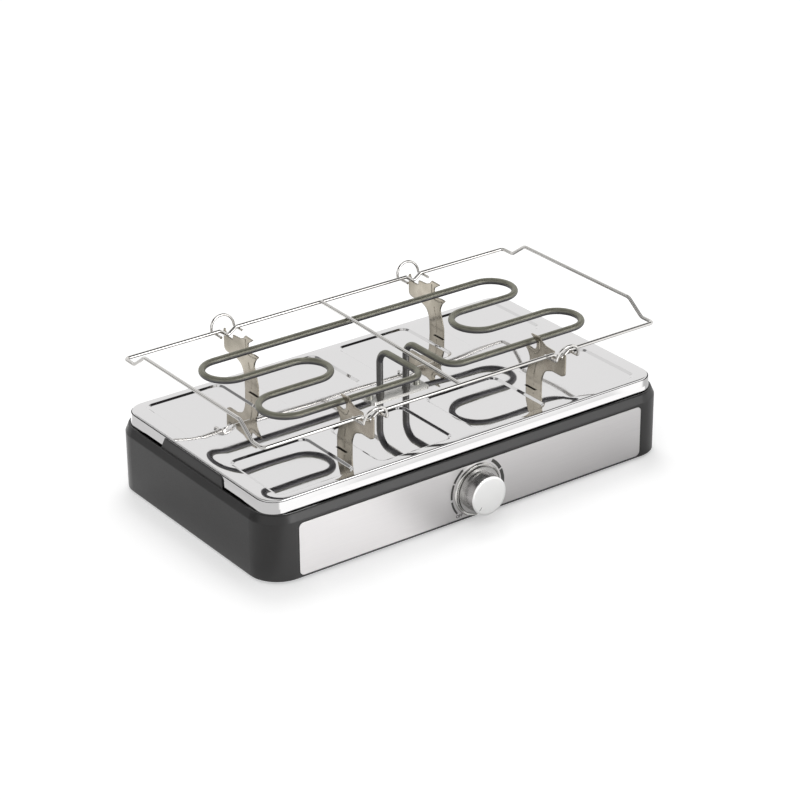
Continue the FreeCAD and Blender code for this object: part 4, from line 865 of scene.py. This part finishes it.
makeDial()
makeBezel()
makeKnobMark()
print("dial and bezel made")

# The camera sees a white floor that keeps the shadows. Polished metal sees it dim beyond the
# left end, bright before the front, and beside the housing bright in the left half only.
# Places are in metres.
stageLook = {"floorHalf": 6, "floorColour": "#e4e4e4", "floorGlow": 0.41, "worldLight": 0.62,
             "left": (-0.26, -0.22), "leftMirrored": 0.1, "front": (-0.27, -0.22), "frontMirrored": 0.72,
             "near": (-0.075, -0.02), "nearMirrored": 0.62, "rightMirrored": 0.0}


def smoothFall(tree, value, low, high, before, after):
    node = addNode(tree, "ShaderNodeMapRange", {
        "Value": value, "From Min": low, "From Max": high, "To Min": before, "To Max": after},
        interpolation_type="SMOOTHSTEP")
    return node.outputs["Result"]


def maths(tree, operation, *values):
    node = addNode(tree, "ShaderNodeMath", dict(enumerate(values)), operation=operation)
    return node.outputs["Value"]


def makeFloor():
    look = stageLook
    half = look["floorHalf"]
    mesh = meshOf("floor", [(-half, -half, 0), (half, -half, 0), (half, half, 0), (-half, half, 0)],
                  [(0, 1, 2, 3)])
    newPiece("floor", mesh)
    material = bpy.data.materials.new("paleFloor")
    material.use_nodes = True
    tree = material.node_tree
    tree.nodes.clear()
    rays = addNode(tree, "ShaderNodeLightPath").outputs
    matte = addNode(tree, "ShaderNodeBsdfDiffuse", {"Color": linearColour(look["floorColour"])})
    where = addNode(tree, "ShaderNodeSeparateXYZ",
                    {"Vector": addNode(tree, "ShaderNodeNewGeometry").outputs["Position"]}).outputs
    near = smoothFall(tree, where["X"], *look["near"], look["nearMirrored"], look["rightMirrored"])
    front = smoothFall(tree, where["Y"], *look["front"], look["frontMirrored"], near)
    seen = smoothFall(tree, where["X"], *look["left"], look["leftMirrored"], front)
    mirrored = maths(tree, "MULTIPLY", rays["Is Glossy Ray"], seen)
    lifted = maths(tree, "MULTIPLY", rays["Is Camera Ray"], look["floorGlow"])
    glow = maths(tree, "ADD", lifted, mirrored)
    white = addNode(tree, "ShaderNodeEmission", {"Strength": glow})
    both = addNode(tree, "ShaderNodeAddShader", {0: matte.outputs["BSDF"], 1: white.outputs["Emission"]})
    addNode(tree, "ShaderNodeOutputMaterial", {"Surface": both.outputs["Shader"]})
    mesh.materials.append(material)


# What polished metal sees: a bright wall up to about thirty degrees, dark above it (darkest to
# the front), a bright box high at the rear right, a dark screen low at the rear left, a strong
# soft box low at the front right and one overhead. Pairs say where each one fades, along the
# direction's x, y or z, or in degrees round from the front.
mirrorWorld = {"wall": 1.0, "wallTop": (0.52, 0.64), "darkFront": 0.024, "darkRear": 0.25,
               "frontToRear": (0.2, 0.45), "overhead": 0.9, "overheadFrom": (0.9, 0.96),
               "rearBox": 0.9, "rearBoxSide": (-0.058, -0.044), "rearBoxTop": (0.75, 0.8),
               "screen": 0.03, "screenSide": (0.45, 0.62), "screenRear": (0.0, 0.3),
               "screenTop": (0.2, 0.36), "frontBox": 5.15, "frontBoxLeft": (2, 16),
               "frontBoxRight": (30, 38), "frontBoxAhead": (-0.3, -0.1), "frontBoxLow": (0.0, 0.1),
               "frontBoxHigh": (0.44, 0.58)}


def makeWorld():
    world = bpy.data.worlds.new("studioWorld")
    bpy.context.scene.world = world
    world.use_nodes = True
    tree = world.node_tree
    tree.nodes.clear()
    rays = addNode(tree, "ShaderNodeLightPath").outputs
    way = addNode(tree, "ShaderNodeSeparateXYZ",
                  {"Vector": addNode(tree, "ShaderNodeTexCoord").outputs["Generated"]}).outputs
    look = mirrorWorld
    leftward, forward = [maths(tree, "MULTIPLY", way[axis], -1.0) for axis in ("X", "Y")]
    azimuth = maths(tree, "DEGREES", maths(tree, "ARCTAN2", way["X"], forward))

    rearBox = smoothFall(tree, way["Z"], *look["rearBoxTop"], look["rearBox"], look["darkRear"])
    rear = smoothFall(tree, way["X"], *look["rearBoxSide"], look["darkRear"], rearBox)
    above = smoothFall(tree, way["Y"], *look["frontToRear"], look["darkFront"], rear)
    wall = maths(tree, "MAXIMUM", smoothFall(tree, way["Z"], *look["wallTop"], look["wall"], 0.0), above)

    screen = smoothFall(tree, leftward, *look["screenSide"], 0.0, 1.0)
    screen = maths(tree, "MULTIPLY", screen, smoothFall(tree, way["Y"], *look["screenRear"], 0.0, 1.0))
    screen = maths(tree, "MULTIPLY", screen, smoothFall(tree, way["Z"], *look["screenTop"], 1.0, 0.0))
    screened = maths(tree, "MULTIPLY", wall, smoothFall(tree, screen, 0.0, 1.0, 1.0, look["screen"]))

    frontBox = smoothFall(tree, azimuth, *look["frontBoxRight"], look["frontBox"], 0.0)
    for edge in (smoothFall(tree, azimuth, *look["frontBoxLeft"], 0.0, 1.0),
                 smoothFall(tree, way["Y"], *look["frontBoxAhead"], 1.0, 0.0),
                 smoothFall(tree, way["Z"], *look["frontBoxLow"], 0.0, 1.0),
                 smoothFall(tree, way["Z"], *look["frontBoxHigh"], 1.0, 0.0)):
        frontBox = maths(tree, "MULTIPLY", frontBox, edge)
    overhead = smoothFall(tree, way["Z"], *look["overheadFrom"], 0.0, look["overhead"])
    shown = maths(tree, "MAXIMUM", maths(tree, "MAXIMUM", screened, overhead), frontBox)

    # what is not mirrored gets a plain soft light, and the camera sees white
    white = maths(tree, "MAXIMUM", rays["Is Camera Ray"], rays["Is Transmission Ray"])
    level = addNode(tree, "ShaderNodeMix", {
        "Factor": rays["Is Glossy Ray"], "A": stageLook["worldLight"], "B": shown})
    strength = maths(tree, "MAXIMUM", level.outputs["Result"], white)
    light = addNode(tree, "ShaderNodeBackground", {"Color": (1.0, 1.0, 1.0, 1.0), "Strength": strength})
    addNode(tree, "ShaderNodeOutputWorld", {"Surface": light.outputs["Background"]})


makeFloor()
makeWorld()

# Places and sizes in metres. Metal mirrors the world's boxes, not these lamps.
lamps = {
    "keyLamp": {"at": (0.45, 0.8, 1.7), "size": 1.0, "watts": 11},
    "fillLamp": {"at": (-0.9, -0.8, 1.4), "size": 1.4, "watts": 2.5},
}
lampAim = Vector((0, 0, 0.06))
for name, lamp in lamps.items():
    data = bpy.data.lights.new(name, "AREA")
    data.shape = "DISK"
    data.size = lamp["size"]
    data.energy = lamp["watts"]
    holder = bpy.data.objects.new(name, data)
    bpy.context.scene.collection.objects.link(holder)
    holder.visible_glossy = False
    holder.location = lamp["at"]
    holder.rotation_mode = "QUATERNION"
    holder.rotation_quaternion = (lampAim - Vector(lamp["at"])).to_track_quat("-Z", "Y")

# The photograph's viewpoint, with the focal length in its pixels.
camera = {"azimuth": -35.96, "elevation": 25.62, "roll": -0.43, "focalPx": 2600.79,
          "distance": 2497.13, "aimRight": 6.53, "aimUp": 63.3, "imagePx": 800, "sensorMm": 36, "seesTo": 100}


def setCamera():
    azimuth, elevation = math.radians(camera["azimuth"]), math.radians(camera["elevation"])
    level = math.cos(elevation)
    back = Vector((math.sin(azimuth) * level, -math.cos(azimuth) * level, math.sin(elevation)))
    right = (-back).cross(Vector((0, 0, 1))).normalized()
    up = right.cross(-back)
    aim = right * camera["aimRight"] + up * camera["aimUp"]
    eye = aim + back * camera["distance"]
    roll = math.radians(camera["roll"])
    rolledRight = right * math.cos(roll) + up * math.sin(roll)
    rolledUp = up * math.cos(roll) - right * math.sin(roll)
    data = bpy.data.cameras.new("photoCamera")
    data.sensor_width = camera["sensorMm"]
    data.lens = camera["focalPx"] * data.sensor_width / camera["imagePx"]
    data.clip_end = camera["seesTo"]
    holder = bpy.data.objects.new("photoCamera", data)
    bpy.context.scene.collection.objects.link(holder)
    turn = Matrix((rolledRight, rolledUp, back)).transposed().to_4x4()
    holder.matrix_world = Matrix.Translation(spot(*eye)) @ turn
    bpy.context.scene.camera = holder


setCamera()
bpy.context.scene.view_settings.view_transform = "Standard"
bpy.context.view_layer.update()
